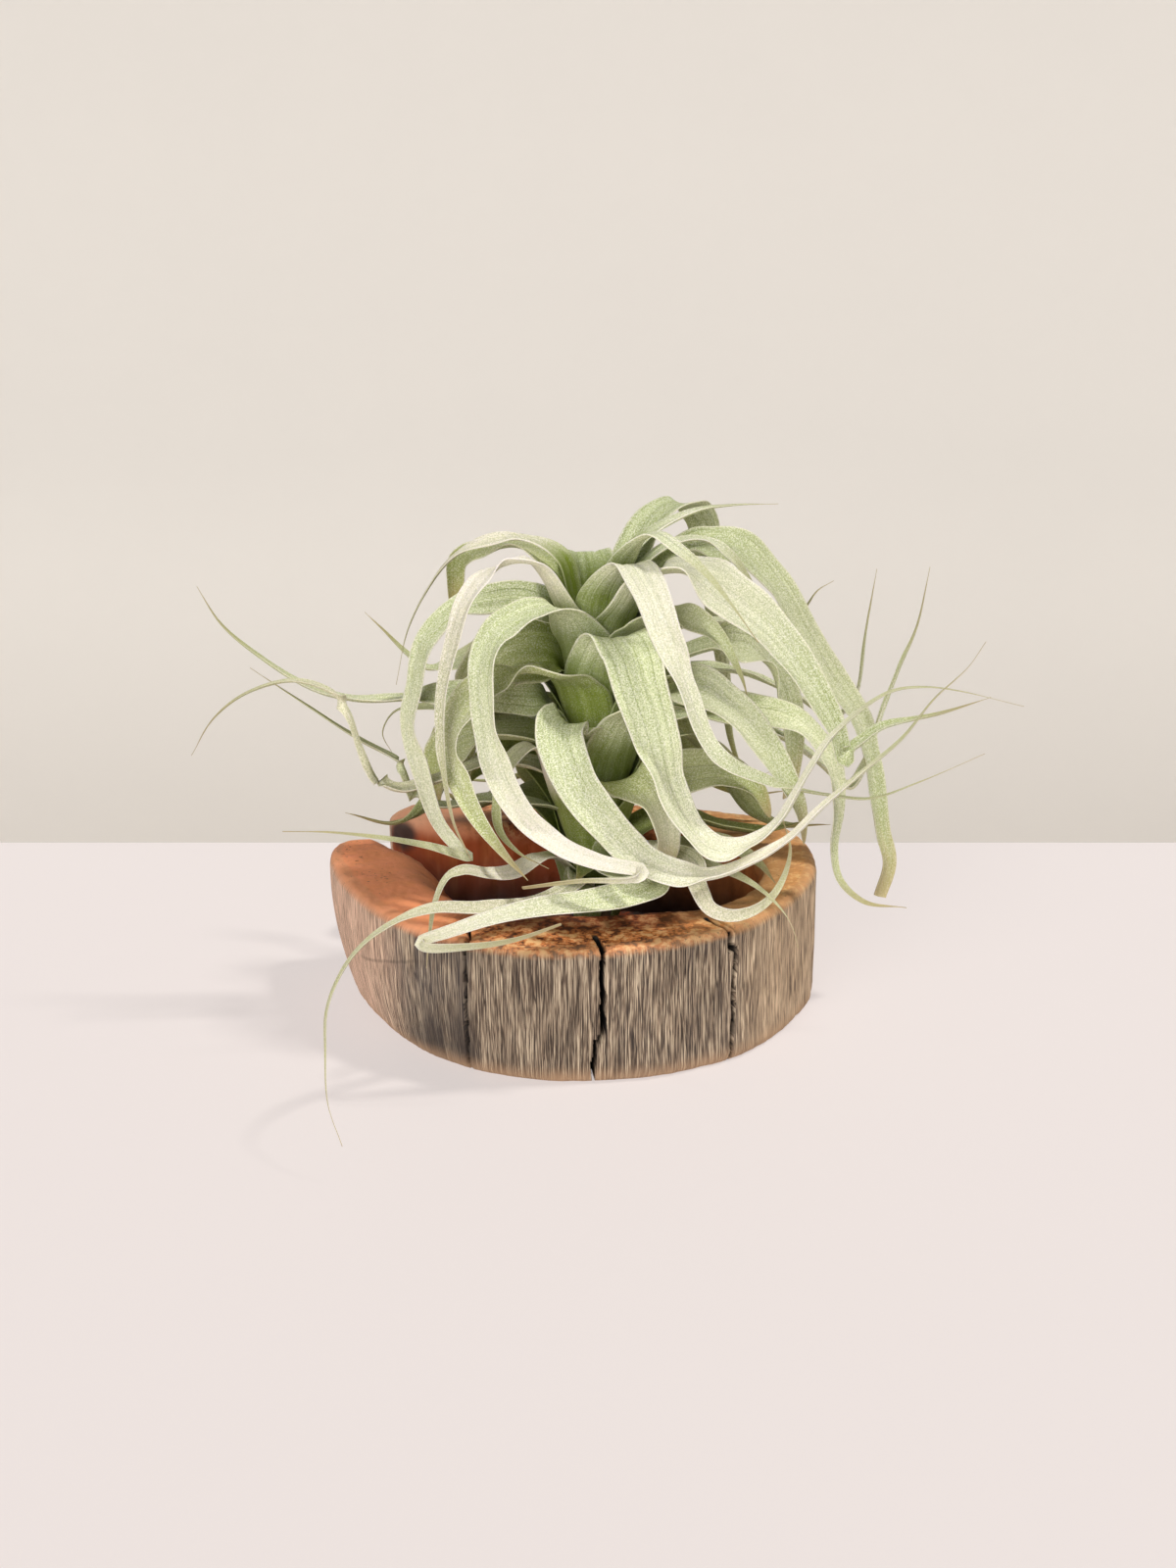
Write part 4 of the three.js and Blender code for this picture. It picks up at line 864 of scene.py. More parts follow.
def plain_material(name, colour, roughness, cloud, glow=(0.0, 0.0, 0.0)):
    """A plain matt surface with a faint cloudiness, and a glow that softens the shadows on it."""
    tree = Tree(name)
    clouds = tree.noise(tree.place(), 9.0, 3.0, 0.55)
    darker = tuple(part * (1.0 - cloud) for part in colour)
    skin = tree.noise(tree.place(), 1400.0, 2.0, 0.5)
    return tree.finish(
        Base_Color=tree.mix(clouds, darker, colour), Roughness=roughness,
        Emission_Color=(*glow, 1.0), Emission_Strength=1.0,
        Normal=tree.bump(skin, 0.05 * MM, 0.2))


# ---------------------------------------------------------------- slab

def crack_profile(settings, arc, height, arc_of):
    """How deep each place lies in a crack, 0 to 1: a steep trough about a line that wanders with
    the height, as wide as the crack's width times noise."""
    total = np.zeros(np.broadcast(arc, height).shape)
    for number, (mouth, lean, width) in enumerate(CRACKS):
        down = 1.0 - height / SLAB_HEIGHT
        kink = smooth((down - 0.62) / 0.12) if number == 1 else down
        step = 1.8 * smooth((height - 37.0) / 1.5) if number == 2 else 0.0
        line = arc_of(mouth) + lean * kink + 0.35 * noise(height / 3.0, height * 0 + number, 40) - step
        ragged = 0.8 + 0.3 * noise(height / 1.7, arc * 0 + number * 5, 41 + number)
        half = settings.crack_width / MM * width * ragged * lerp(0.7, 1.0, height / SLAB_HEIGHT)
        total = np.maximum(total, np.sqrt(np.clip(1.0 - ((arc - line) / half) ** 2, 0.0, 1.0)))
    return total


def slab_columns(total, crack_arcs):
    """Places along the outer side: fine near the cracks and the lobes' tips, coarser elsewhere.
    A crack is upright, and the face draws in below it, so its foot lies at a smaller arc."""
    fine = np.linspace(0.0, total, 6000)
    gap = np.full(len(fine), FACE_STEP)
    gap[fine > BACK_FROM * total] = BACK_STEP
    for centre, drawn in crack_arcs:
        gap = np.where((fine > centre - drawn - 4.0) & (fine < centre + 2.5), CRACK_STEP, gap)
    tips = np.minimum(fine, total - fine)
    gap = np.where(tips < CLOSING, TIP_STEP, gap)
    count = np.concatenate([[0.0], np.cumsum(np.diff(fine) / gap[1:])])
    return np.interp(np.linspace(0.0, count[-1], int(count[-1])), count, fine)


def foot_shift(x, foot):
    """How far a place at x is drawn in along X, at a share of the way down to the foot."""
    return FOOT_PULL_X * foot ** FOOT_CURVE * (SLAB_REACH - x) / (2 * SLAB_REACH)


def slab_wall_section(rim):
    """Rows up a wall as (height, inset): a quarter round at the foot, a straight, and one at the top."""
    foot_turn = np.radians(np.linspace(0, 90, 5))
    top_turn = np.radians(np.linspace(0, 90, 7))
    foot = np.stack([EDGE_RISE * (1 - np.cos(foot_turn)), rim * (1 - np.sin(foot_turn))], 1)
    straight = np.stack([np.linspace(EDGE_RISE, SLAB_HEIGHT - EDGE_RISE, 27)[1:-1], np.zeros(25)], 1)
    top = np.stack([SLAB_HEIGHT - EDGE_RISE * (1 - np.sin(top_turn)), rim * (1 - np.cos(top_turn))], 1)
    return np.vstack([foot, straight, top])


def plan_lookup(steps=24):
    """A function that gives the places on the plan's curve, and the directions into the wood there,
    for fractional numbers of the plan's points."""
    curve = catmull(SLAB_PLAN, steps, closed=True)
    rows = np.arange(-steps, len(curve) + steps - 1)
    closed = curve[rows % (len(curve) - 1)]
    index = rows / steps
    tangent = unit(np.gradient(closed, axis=0))
    inward = np.stack([-tangent[:, 1], tangent[:, 0]], 1)

    def at(values, places):
        return np.stack([np.interp(places, index, part) for part in values.T], 1)

    def plan(places):
        return at(closed, places), unit(at(inward, places))

    return plan


def slab_sides():
    """Distances along the outer side, the places and inward directions there and on the matching
    inner side, and a function that gives the distance of the outer side's place nearest a point."""
    plan = plan_lookup()
    dense = np.linspace(OUTER_KNOTS[0], OUTER_KNOTS[-1], 2400)
    dense_points = plan(dense)[0]
    dense_arc = running_length(dense_points)

    def arc_of(point):
        return dense_arc[np.argmin(np.linalg.norm(dense_points - np.asarray(point, float), axis=1))]

    crack_arcs = [(arc_of(mouth), foot_shift(mouth[0], 1.0)) for mouth, _, _ in CRACKS]
    arc = slab_columns(dense_arc[-1], crack_arcs)
    outer_places = np.interp(arc, dense_arc, dense)
    knots = np.arange(len(OUTER_KNOTS))
    shared = np.interp(outer_places, OUTER_KNOTS, knots)
    inner_places = np.interp(shared, knots, INNER_KNOTS)
    return arc, plan(outer_places), plan(inner_places), arc_of


def inner_side(place, inward, arc, lobe, height, inset):
    """Plan places and heights of the inner side's rows. Its upper edge is softer than the outer one,
    most of all on the front lobe, where the wall below it also leans out into the hollow."""
    past_tip = smooth(np.minimum(arc, arc[-1] - arc) / SOFT_FADE)
    soft = lerp(1.0, lerp(SOFT_EDGE, DISH, lobe), past_tip)[:, None]
    high = height[None, :] > SLAB_HEIGHT - EDGE_RISE
    row_inset = np.where(high, inset[None, :] * soft, inset[None, :])
    lean = LOBE_SLOPE * lobe * smooth((arc - LEAN_START) / (LEAN_FULL - LEAN_START))
    depth = np.clip((SLAB_HEIGHT - height) / LEAN_HEIGHT, 0.0, 1.0)
    row_inset = row_inset - lean[:, None] * depth ** LEAN_POWER
    stretch = (SLAB_HEIGHT - EDGE_RISE * soft - EDGE_RISE) / (SLAB_HEIGHT - 2 * EDGE_RISE)
    row_height = np.where(
        high, SLAB_HEIGHT - (SLAB_HEIGHT - height) * soft,
        np.minimum(height, EDGE_RISE) + np.maximum(height - EDGE_RISE, 0.0) * stretch)
    return place[:, None] + inward[:, None] * row_inset[..., None], row_height


def between(first, last, rows):
    """Rows of places evenly spaced between two rows, without those two."""
    return lerp(first, last, np.linspace(0.0, 1.0, rows + 2)[1:-1][None, :, None])


def slab_zones(height):
    """For each row round the section, how much of it is outer side, top, inner side, foot, the half
    of the top by the hollow, and worn edge."""
    wall = len(height)
    near_top = smooth((height - 42.0) / 2.0)
    near_hollow = smooth((np.arange(TOP_ROWS) / (TOP_ROWS - 1.0) - 0.30) / 0.45)
    worn_wall = np.maximum(smooth((7.0 - height) / 7.0), 0.9 * smooth((height - 41.0) / 1.8))
    worn_top = 0.8 * smooth((2.5 - np.arange(TOP_ROWS)) / 2.0)
    none, whole = np.zeros, np.ones
    parts = {
        "outer": (whole(wall), none(TOP_ROWS), none(wall), none(FOOT_ROWS)),
        "top": (near_top, whole(TOP_ROWS), near_top[::-1], none(FOOT_ROWS)),
        "inner": (none(wall), none(TOP_ROWS), whole(wall), none(FOOT_ROWS)),
        "foot": (none(wall), none(TOP_ROWS), none(wall), whole(FOOT_ROWS)),
        "by_hollow": (none(wall), near_hollow, whole(wall), none(FOOT_ROWS)),
        "worn": (worn_wall, worn_top, none(wall), none(FOOT_ROWS)),
    }
    return {key: np.concatenate(rows) for key, rows in parts.items()}


def slab_roughness(settings, s, z, x, zones):
    """How far the surface is pushed in: upright grain and broad swellings on the face, calmer at
    its left ends, and dents on the hollow's wall."""
    calm = 1.0 - 0.65 * smooth((-x - 48.0) / 20.0)
    grain = (noise(s / 0.7, z / 17.0, 1) + 0.7 * noise(s / 1.4, z / 30.0, 2)) * settings.grain / MM * calm
    swell = 0.55 * noise(s / 13.0, z / 30.0, 3) + 0.3 * noise(s / 4.5, z / 12.0, 4)
    face = smooth((z + 1.0) / 4.0) * smooth((45.0 - z) / 4.0) * (grain + 0.6 * swell)
    dents = (1.1 * noise(s / 7.0, z / 9.0, 5) + 0.5 * noise(s / 2.5, z / 4.0, 6)) * smooth((45 - z) / 6)
    return zones["outer"] * face + zones["inner"] * dents


def slab_cracks(settings, s, heights, z, depth_in, arc_of, zones):
    """How much each place belongs to a crack, how far it is pushed in and how far it drops. Over the
    top a crack grows shallower with the distance from the face."""
    crack = crack_profile(settings, s, heights, arc_of) * (1.0 - zones["inner"])
    reach, drop, run = settings.crack_depth / MM, 6.5, 13.0
    near_face = np.maximum(1.0 - depth_in / run, 0.0)
    on_face = zones["outer"] > 0
    crack *= np.where(on_face, 1.0, smooth(near_face * 3.0) * (1.0 - zones["foot"]))
    push = crack * np.where(on_face, reach, reach * near_face)
    fall = crack * np.where(on_face, np.maximum(z - (SLAB_HEIGHT - drop), 0.0), drop * near_face)
    return crack, push, fall


def slab_mesh(settings):
    """The slab's wall. Its section runs up the outer side, over the top in straight lines to the
    matching place on the inner side, down that side and back along the foot. Each side's rows are
    the plan curve set in by the rounding of the edge, and drawn in towards the foot. At the two
    lobes' tips both sides meet, so the lean and the roughness fade out there and the mesh closes."""
    arc, (outer, outer_in), (inner, inner_in), arc_of = slab_sides()
    rim = settings.rim / MM
    section = slab_wall_section(rim)
    height, inset = section[:, 0], section[:, 1]
    zones = slab_zones(height)
    from_tip = np.minimum(arc, arc[-1] - arc)
    closing = smooth(from_tip / CLOSING)[:, None]
    lobe = smooth((-outer[:, 0] - 12.0) / 24.0) * smooth((100.0 - arc) / 40.0)
    wobble = 0.35 * closing * noise(arc / 4.0, arc * 0, 11)[:, None] * (inset / rim)[None, :]
    outer_wall = outer[:, None] + outer_in[:, None] * (inset[None, :] + wobble)[..., None]
    inner_wall, inner_height = inner_side(inner, inner_in, arc, lobe, height, inset)
    top = between(outer_wall[:, -1:], inner_wall[:, -1:], TOP_ROWS)
    foot = between(inner_wall[:, :1], outer_wall[:, :1], FOOT_ROWS)
    places = np.concatenate([outer_wall, top, inner_wall[:, ::-1], foot], 1)
    stations, size = places.shape[:2]
    heights = np.concatenate([
        np.ones((stations, 1)) * height, np.full((stations, TOP_ROWS), SLAB_HEIGHT),
        inner_height[:, ::-1], np.zeros((stations, FOOT_ROWS))], 1)

    along = unit(np.gradient(outer, axis=0))
    s = arc[:, None] + foot_shift(places[..., 0], 1.0 - heights / SLAB_HEIGHT) * along[:, :1]
    push = slab_roughness(settings, s, heights, places[..., 0], zones) * closing
    tips = smooth(from_tip / FLAT_TIP)[:, None]
    z = heights.copy()
    z += zones["top"] * tips * 0.4 * noise(places[..., 0] / 9.0, places[..., 1] / 9.0, 7)
    z += zones["top"] * tips * 0.16 * noise(places[..., 0] / 1.6, places[..., 1] / 1.6, 8)
    depth_in = np.linalg.norm(places - outer[:, None], axis=2)
    crack, crack_push, crack_fall = slab_cracks(settings, s, heights, z, depth_in, arc_of, zones)
    z -= crack_fall
    direction = np.where(zones["inner"][None, :, None] > 0, inner_in[:, None], outer_in[:, None])
    places = places + direction * (crack_push + push)[..., None]
    pulled = 1.0 - np.clip(z, 0, SLAB_HEIGHT) / SLAB_HEIGHT
    x = places[..., 0] + foot_shift(places[..., 0], pulled)
    y = places[..., 1] * (1 - FOOT_PULL_Y * pulled)
    points = np.stack([x, y, np.maximum(z, 0.0)], 2).reshape(-1, 3)

    rows = {key: np.broadcast_to(zone, (stations, size)) for key, zone in zones.items()}
    attributes = {
        "arc": s * MM, "face": rows["outer"] * (1 - rows["top"]),
        "top": np.maximum(rows["top"], rows["inner"]),
        "hollow": rows["inner"] * smooth((43.5 - heights) / (6.0 + 32.0 * lobe[:, None])),
        "crack": smooth(crack * 9.0), "worn": rows["worn"], "inner": rows["by_hollow"],
    }
    quads = loft_faces(stations, size)[:, ::-1]
    mesh = fill_mesh("log_slice", points, quads, np.zeros((0, 3), int), attributes)
    merge_doubles(mesh)
    return mesh


def hollow_floor_mesh():
    """The hollow's floor: an oval disc whose top is rough, made of rings that shrink to its middle."""
    sides, rings, low, bevel = 160, 46, 0.2, 1.5
    turn = np.linspace(0.0, 2 * np.pi, sides, endpoint=False)
    reach = np.concatenate([[1.0, 1.0], np.linspace(0.99, 0.02, rings)])
    height = np.concatenate([[low, FLOOR_HEIGHT - bevel], np.full(rings, FLOOR_HEIGHT)])
    x = FLOOR_CENTRE[0] + FLOOR_RADII[0] * reach[:, None] * np.cos(turn)
    y = FLOOR_CENTRE[1] + FLOOR_RADII[1] * reach[:, None] * np.sin(turn)
    bumps = noise(x / 6.0, y / 6.0, 21) * 0.5 + noise(x / 1.8, y / 1.8, 22) * 0.25 - 0.5
    settled = smooth((np.hypot(x - AXIS_X, y) - 8.0) / 8.0)
    z = height[:, None] + np.where(height[:, None] >= FLOOR_HEIGHT, bumps * settled, 0.0)
    points = np.stack([x, y, z], 2).reshape(-1, 3)
    middle = np.array([[*FLOOR_CENTRE, low], [*FLOOR_CENTRE, FLOOR_HEIGHT]])
    count = len(points)
    caps = cap_faces(sides, (rings + 1) * sides, count, count + 1)
    return fill_mesh("hollow_floor", np.vstack([points, middle]), loft_faces(rings + 2, sides), caps, {})


# ---------------------------------------------------------------- stem

def stem_radius(height):
    return np.interp(height, [FLOOR_HEIGHT, STEM_TOP], [STEM_RADIUS_LOW, STEM_RADIUS_HIGH])


def stem_mesh(settings):
    """The stem: a profile turned round the axis, with a ring for each old leaf base and a ragged
    root that spreads on the hollow's floor."""
    sides = 96
    height = np.concatenate([np.linspace(STEM_FOOT, 24.0, 30), np.linspace(24.3, STEM_TOP - 0.4, 260)])
    turn = np.linspace(0.0, 2 * np.pi, sides, endpoint=False)
    root = 4.6 * np.clip((23.0 - height) / 8.7, 0.0, 1.0) ** 1.6
    taper = np.clip((STEM_TOP - height) / 3.0, 0.0, 1.0) ** 0.5
    scars = settings.scar / MM * (np.abs(np.sin(np.pi * height / LEAF_STEP)) - 1.0)
    ragged = 1.0 + 0.12 * noise(turn[None, :] * 3.0, height[:, None] / 2.0, 31)
    radius = (stem_radius(height) * taper + scars)[:, None] + root[:, None] * ragged
    radius = np.maximum(radius, 0.3)
    x = AXIS_X + radius * np.cos(turn)
    y = radius * np.sin(turn)
    points = np.stack([x, y, np.broadcast_to(height[:, None], x.shape)], 2).reshape(-1, 3)
    ends = np.array([[AXIS_X, 0, STEM_FOOT], [AXIS_X, 0, STEM_TOP]])
    count = len(points)
    caps = cap_faces(sides, (len(height) - 1) * sides, count, count + 1)
    return fill_mesh("stem_core", np.vstack([points, ends]), loft_faces(len(height), sides), caps, {})


# ---------------------------------------------------------------- leaves

def leaf_route(index, row):
    """The points a leaf passes and its facing at each: three up its sheath, then its blade's."""
    _, side, rise, _, _, blade = row
    angle = math.radians(side)
    out = np.array([math.cos(angle), math.sin(angle), 0.0])
    foot = np.array([AXIS_X, 0.0, FIRST_LEAF_HEIGHT - LEAF_STEP * index])
    start = stem_radius(foot[2]) + SHEATH_GAP + SHEATH_THICKNESS
    up = np.array([0, 0, rise])
    climb = [foot + out * (start + SHEATH_SLOPE * rise * k) + up * k for k in (0, 0.5, 1)]
    facings = [-out] * 3 + [unit(np.sum([FACING[c] for c in letters], axis=0)) for *_, letters in blade]
    return np.array(climb + [point[:3] for point in blade], float), np.array(facings, float)


def leaf_midline(index, row, steps=24):
    """Places, the sideways, upper and wanted directions, and the distances run, at even spacing
    along a leaf. The upper side follows the wanted facing, eased between the route's points."""
    route, facings = leaf_route(index, row)
    curve = catmull(route, steps)
    forward = unit(np.gradient(curve, axis=0))
    place = np.arange(len(curve)) / steps
    span = np.minimum(place.astype(int), len(route) - 2)
    part = smooth(place - span)[:, None]
    wanted = lerp(facings[span], facings[span + 1], part)
    upper = unit(wanted - forward * np.sum(wanted * forward, axis=1, keepdims=True))
    arc = running_length(curve)
    count = max(48, int(arc[-1] / 1.15))
    places = np.interp(np.linspace(0.0, arc[-1], count), arc, np.arange(len(arc)))
    curve, forward, upper, wanted = (resample(v, places) for v in (curve, forward, upper, wanted))
    upper, forward = unit(upper), unit(forward)
    return curve, unit(np.cross(upper, forward)), upper, wanted, np.linspace(0.0, arc[-1], count)


def leaf_shape(row, curve, run, swell):
    """Along a leaf: how far it is blade and no more sheath, its share of the blade's length, its
    width, and the angle of its cup."""
    name, _, rise, width, taper, _ = row
    taper *= FULL_THINNING if name in FULL else THINNING.get(name, 1.0)
    sheath = rise * SHEATH_LENGTH + FOLD_LENGTH
    fold = rise * SHEATH_LENGTH * FOLD_START
    blade = smooth((run - fold) / (sheath + FOLD_TAIL - fold))
    part = np.clip((run - sheath) / (run[-1] - sheath), 0.0, 1.0)
    climb = np.clip(run / sheath, 0.0, 1.0)
    base = 0.72 + 0.28 * smooth(climb) + swell * np.sin(np.pi * climb) ** 2
    left = BLADE_WIDTH.get(name, FULL_WIDTH if name in FULL else PLAIN_WIDTH)
    narrowing = lerp(1.0, left, smooth((run - fold) / (2 * FOLD_LENGTH)))
    spread = np.maximum(width * (1 - part * BLUNT.get(name, 1.0)) ** taper * base * narrowing, 0.35)
    reach = np.maximum(np.hypot(curve[:, 0] - AXIS_X, curve[:, 1]), 3.0)
    wrap = np.minimum(spread / reach, math.radians(WIDEST_WRAP))
    return blade, part, spread, lerp(wrap, np.radians(BLADE_CUP + TIP_CUP * part), blade)


def leaf_lift(settings, run, q, blade, spread, draws):
    """How far each place stands off the cup: edges that wave with the length, and creases that dip
    along two places across. Both fade out in the sheath and by the tip."""
    phase_a, phase_b, crease_a, crease_b = draws
    s = run[:, None]
    sweep = blade * smooth((run[-1] - run) / 25.0) * np.minimum(spread / 14.0, 1.0)
    edge_left, edge_right = np.clip(-q, 0, 1) ** 2.5, np.clip(q, 0, 1) ** 2.5
    wave = edge_left * np.sin(s / 4.1 + 6.3 * phase_a + 1.5 * np.sin(s / 13.0))
    wave = wave + edge_right * np.sin(s / 3.7 + 6.3 * phase_b + 1.3 * np.sin(s / 11.0))
    places = (0.1 + 0.35 * crease_a, -0.15 - 0.4 * crease_b)
    dips = sum(np.exp(-((q - at - 0.04 * np.sin(s / 21.0)) / 0.10) ** 2) for at in places)
    return (settings.ripple * wave - settings.crease * dips) / MM * sweep[:, None]


def leaf_thickness(settings, q, blade, part, spread):
    """Thickness at each place: thinner at the margins and towards the tip."""
    body = lerp(SHEATH_THICKNESS, settings.thickness / MM, blade)[:, None]
    rim = np.minimum(settings.margin / MM, body)
    thick = lerp(rim, body, 1 - np.abs(q) ** 2.2) * lerp(1.0, 0.3, part[:, None])
    return np.minimum(thick, np.maximum(spread[:, None] * 0.4, 0.16))


def leaf_values(row, tone, q, run, blade, spread):
    """What the leaf's skin reads at each place round its rings."""
    name, width = row[0], row[3]
    size, total = 2 * q.size, run[-1]
    whole = np.ones((len(run), size))
    strength, middle = BLUSH.get(name, PLAIN_BLUSH)
    thin = 0.85 * smooth((5.5 - spread) / 3.5) * smooth((total - 45.0) / 40.0)
    blush = strength * np.exp(-((run / total - middle) / 0.22) ** 2) * blade
    across = np.concatenate([q, q[:, ::-1]], 1) * whole
    along = whole * (run / total)[:, None]
    return {
        "across": across, "lane": across * width / 2 * MM, "along": along, "run": along * total * MM,
        "blade": whole * blade[:, None], "blush": whole * blush[:, None],
        "upper": whole * np.repeat([0.0, 1.0], size // 2), "tone": whole * tone,
        # Share of the inner leaves' painted shade and greening
        "deep": whole * INNER_SHADE_AND_GREEN.get(name, 0.0), "thin": whole * thin[:, None],
    }


def leaf_mesh(index, row, settings):
    """A leaf as one closed ribbon. Across it, a place q from -1 to 1 lies on an arc of the leaf's
    cup: sideways by radius times sine, up by radius times one less cosine. The sheath's rings lie
    level about the stem, and the upper side stands off the lower one by the leaf's thickness."""
    curve, sideways, upper, wanted, run = leaf_midline(index, row)
    blade, part, spread, arc = leaf_shape(row, curve, run, settings.swell)
    up = unit(lerp(wanted, upper, blade[:, None]))
    tone, *draws = np.random.default_rng(FIRST_SEED + index).random(5)
    q = np.sin(np.linspace(-np.pi / 2, np.pi / 2, PLACES_ACROSS))[None, :]
    q = 0.5 * q + 0.5 * np.linspace(-1, 1, PLACES_ACROSS)[None, :]
    turn = arc[:, None] * q / 2
    radius = (spread / arc)[:, None]
    lift = leaf_lift(settings, run, q, blade, spread, draws)

    side_way, up_way = sideways[:, None], up[:, None]
    lower = curve[:, None] + side_way * (radius * np.sin(turn))[..., None]
    lower = lower + up_way * (radius * (1 - np.cos(turn)) + lift)[..., None]
    normal = -side_way * np.sin(turn)[..., None] + up_way * np.cos(turn)[..., None]
    above = lower + normal * leaf_thickness(settings, q, blade, part, spread)[..., None]
    rings = np.concatenate([lower, above[:, ::-1]], 1)
    stations, size = rings.shape[:2]
    tips = np.stack([rings[0].mean(0), rings[-1].mean(0) + unit(curve[-1] - curve[-2]) * 0.25])
    attributes = {}
    for key, grid in leaf_values(row, tone, q, run, blade, spread).items():
        attributes[key] = np.concatenate([grid.ravel(), [grid[0].mean(), grid[-1].mean()]])
    count = stations * size
    caps = cap_faces(size, (stations - 1) * size, count, count + 1)
    points = np.vstack([rings.reshape(-1, 3), tips])
    return fill_mesh(f"{row[0]}_blade", points, loft_faces(stations, size), caps, attributes)


def leaf_slot(name):
    if name in ROSY:
        return "rosy"
    return "green" if name in GREEN else "silver"


# ---------------------------------------------------------------- stage

def flat_panel(name, x, y, low, rise=0.0, bend=0.0):
    """A sheet along X whose section runs level from y[0] to y[1] at a height, then turns up by a
    rise in a quarter round of radius bend."""
    section = [(y[0], low), (y[1], low)]
    if rise:
        turn = np.radians(np.linspace(0, 90, 16))
        back = y[1] + bend * np.sin(turn)
        section = [(y[0], low), *zip(back, low + bend * (1 - np.cos(turn))), (back[-1], low + rise)]
    section = np.array(section) / MM
    left = np.insert(section, 0, x[0] / MM, axis=1)
    right = np.insert(section, 0, x[1] / MM, axis=1)
    count = len(section)
    row = np.arange(count - 1)
    quads = np.stack([row, row + count, row + count + 1, row + 1], -1)
    return fill_mesh(name, np.vstack([left, right]), quads, np.zeros((0, 3), int), {})


def add_stage_sheet(mesh, material):
    mesh.materials.append(material)
    sheet = bpy.data.objects.new(mesh.name, mesh)
    bpy.context.scene.collection.objects.link(sheet)


def add_sun(name, place, power, colour, angle):
    """A sun that shines from a place towards the plant's middle, as wide as an angle."""
    light = bpy.data.lights.new(name, "SUN")
    light.energy = power
    light.color = colour
    light.angle = angle
    lamp = bpy.data.objects.new(name, light)
    lamp.location = place
    lamp.rotation_euler = (Vector(PLANT_MIDDLE) - Vector(place)).to_track_quat("-Z", "Y").to_euler()
    bpy.context.scene.collection.objects.link(lamp)


def add_camera(settings):
    camera = bpy.data.cameras.new("view")
    camera.lens = settings.lens
    camera.sensor_width = 36.0
    camera.clip_start = 0.01
    camera.clip_end = 20.0
    holder = bpy.data.objects.new("view", camera)
    holder.location = (settings.camera_x, -settings.camera_back, settings.camera_height)
    holder.rotation_euler = (math.pi / 2 - settings.pitch, 0.0, 0.0)
    bpy.context.scene.collection.objects.link(holder)
    bpy.context.scene.camera = holder


def set_world(settings):
    world = bpy.data.worlds.new("even_light")
    bpy.context.scene.world = world
    world.use_nodes = True
    back = world.node_tree.nodes["Background"]
    back.inputs["Color"].default_value = (*settings.haze, 1.0)
    back.inputs["Strength"].default_value = settings.ambient


# ---------------------------------------------------------------- operators

class AIRPLANT_OT_slab(Operator):
    """Add the hollowed slice of log"""
    bl_idname = "air_plant.slab"
    bl_label = "Log Slice"

    def execute(self, context):
        settings = context.scene.air_plant_slab
        add_piece(slab_mesh(settings), wood_material(settings), "wood", SLAB_NODE)
        return {"FINISHED"}


class AIRPLANT_OT_hollow_floor(Operator):
    """Add the rough floor of the slice's hollow"""
    bl_idname = "air_plant.hollow_floor"
    bl_label = "Hollow Floor"

    def execute(self, context):
        add_piece(hollow_floor_mesh(), floor_material(context.scene.air_plant_slab), "wood", SLAB_NODE)
        return {"FINISHED"}


class AIRPLANT_OT_stem(Operator):
    """Add the plant's short stem"""
    bl_idname = "air_plant.stem"
    bl_label = "Stem"

    def execute(self, context):
        settings = context.scene.air_plant_stem
        add_piece(stem_mesh(settings), stem_material(settings), "stem", "stem")
        return {"FINISHED"}


class AIRPLANT_OT_leaves(Operator):
    """Add the rosette of leaves"""
    bl_idname = "air_plant.leaves"
    bl_label = "Leaves"

    def execute(self, context):
        settings = context.scene.air_plant_leaves
        skins = {}
        for slot, key in (("silver", "silver"), ("green", "sage"), ("rosy", "rosy")):
            skins[slot] = leaf_material(f"leaf_{slot}", colour_of(settings, key), settings)
        for index, row in enumerate(LEAVES):
            slot = leaf_slot(row[0])
            add_piece(leaf_mesh(index, row, settings), skins[slot], slot, f"leaf_{row[0]}")
        return {"FINISHED"}


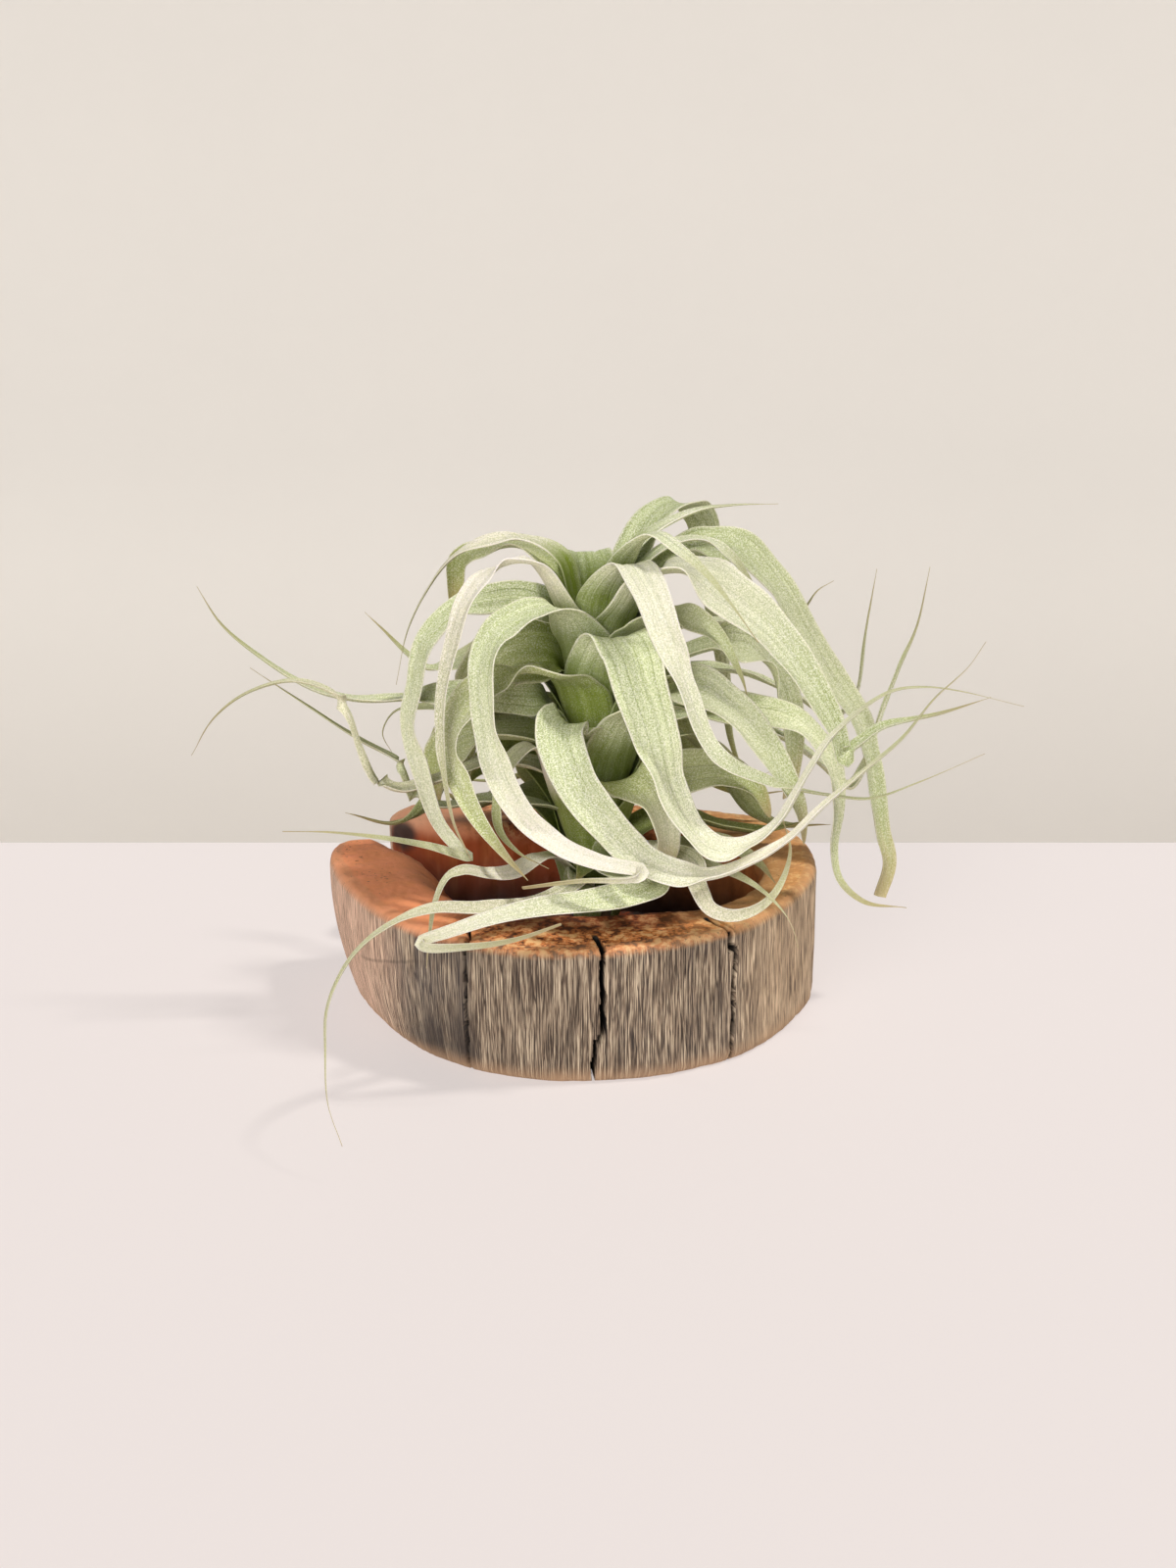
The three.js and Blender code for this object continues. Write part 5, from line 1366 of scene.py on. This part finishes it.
class AIRPLANT_OT_stage(Operator):
    """Add the camera, the lights, the table and the backdrop"""
    bl_idname = "air_plant.stage"
    bl_label = "Stage"

    def execute(self, context):
        settings = context.scene.air_plant_stage
        glow = colour_of(settings, "glow")
        table = plain_material("table_top", colour_of(settings, "table"), 0.6, 0.03, glow)
        wall = plain_material("backdrop_paper", colour_of(settings, "wall"), 0.9, 0.02)
        top = flat_panel("table", TABLE_X, (TABLE_FRONT, settings.table_edge), 0.0)
        add_stage_sheet(top, table)
        paper = flat_panel("backdrop", BACKDROP_X, BACKDROP_Y, BACKDROP_LOW, BACKDROP_RISE, BACKDROP_BEND)
        add_stage_sheet(paper, wall)
        add_sun("key", KEY_PLACE, settings.key, KEY_COLOUR, KEY_ANGLE)
        add_sun("fill", FILL_PLACE, settings.fill, FILL_COLOUR, FILL_ANGLE)
        set_world(settings)
        add_camera(settings)
        context.scene.view_settings.view_transform = "Standard"
        return {"FINISHED"}


class AIRPLANT_PT_panel(Panel):
    """Buttons and values of the air plant"""
    bl_idname = "AIRPLANT_PT_panel"
    bl_label = "Air Plant"
    bl_space_type = "VIEW_3D"
    bl_region_type = "UI"
    bl_category = "Air Plant"

    def draw(self, context):
        for operator in OPERATORS:
            self.layout.operator(operator.bl_idname)
        for key, group in SETTINGS.items():
            box = self.layout.box()
            box.label(text=group.__doc__)
            for name in group.__annotations__:
                box.prop(getattr(context.scene, key), name)


OPERATORS = (
    AIRPLANT_OT_stage, AIRPLANT_OT_slab, AIRPLANT_OT_hollow_floor, AIRPLANT_OT_stem, AIRPLANT_OT_leaves,
)
CLASSES = (*SETTINGS.values(), *OPERATORS, AIRPLANT_PT_panel)


def register():
    for cls in CLASSES:
        bpy.utils.register_class(cls)
    for key, group in SETTINGS.items():
        setattr(bpy.types.Scene, key, PointerProperty(type=group))


def unregister():
    for key in SETTINGS:
        delattr(bpy.types.Scene, key)
    for cls in reversed(CLASSES):
        bpy.utils.unregister_class(cls)


def main():
    register()
    bpy.ops.air_plant.stage()
    bpy.ops.air_plant.slab()
    bpy.ops.air_plant.hollow_floor()
    bpy.ops.air_plant.stem()
    bpy.ops.air_plant.leaves()


if __name__ == "__main__":
    main()
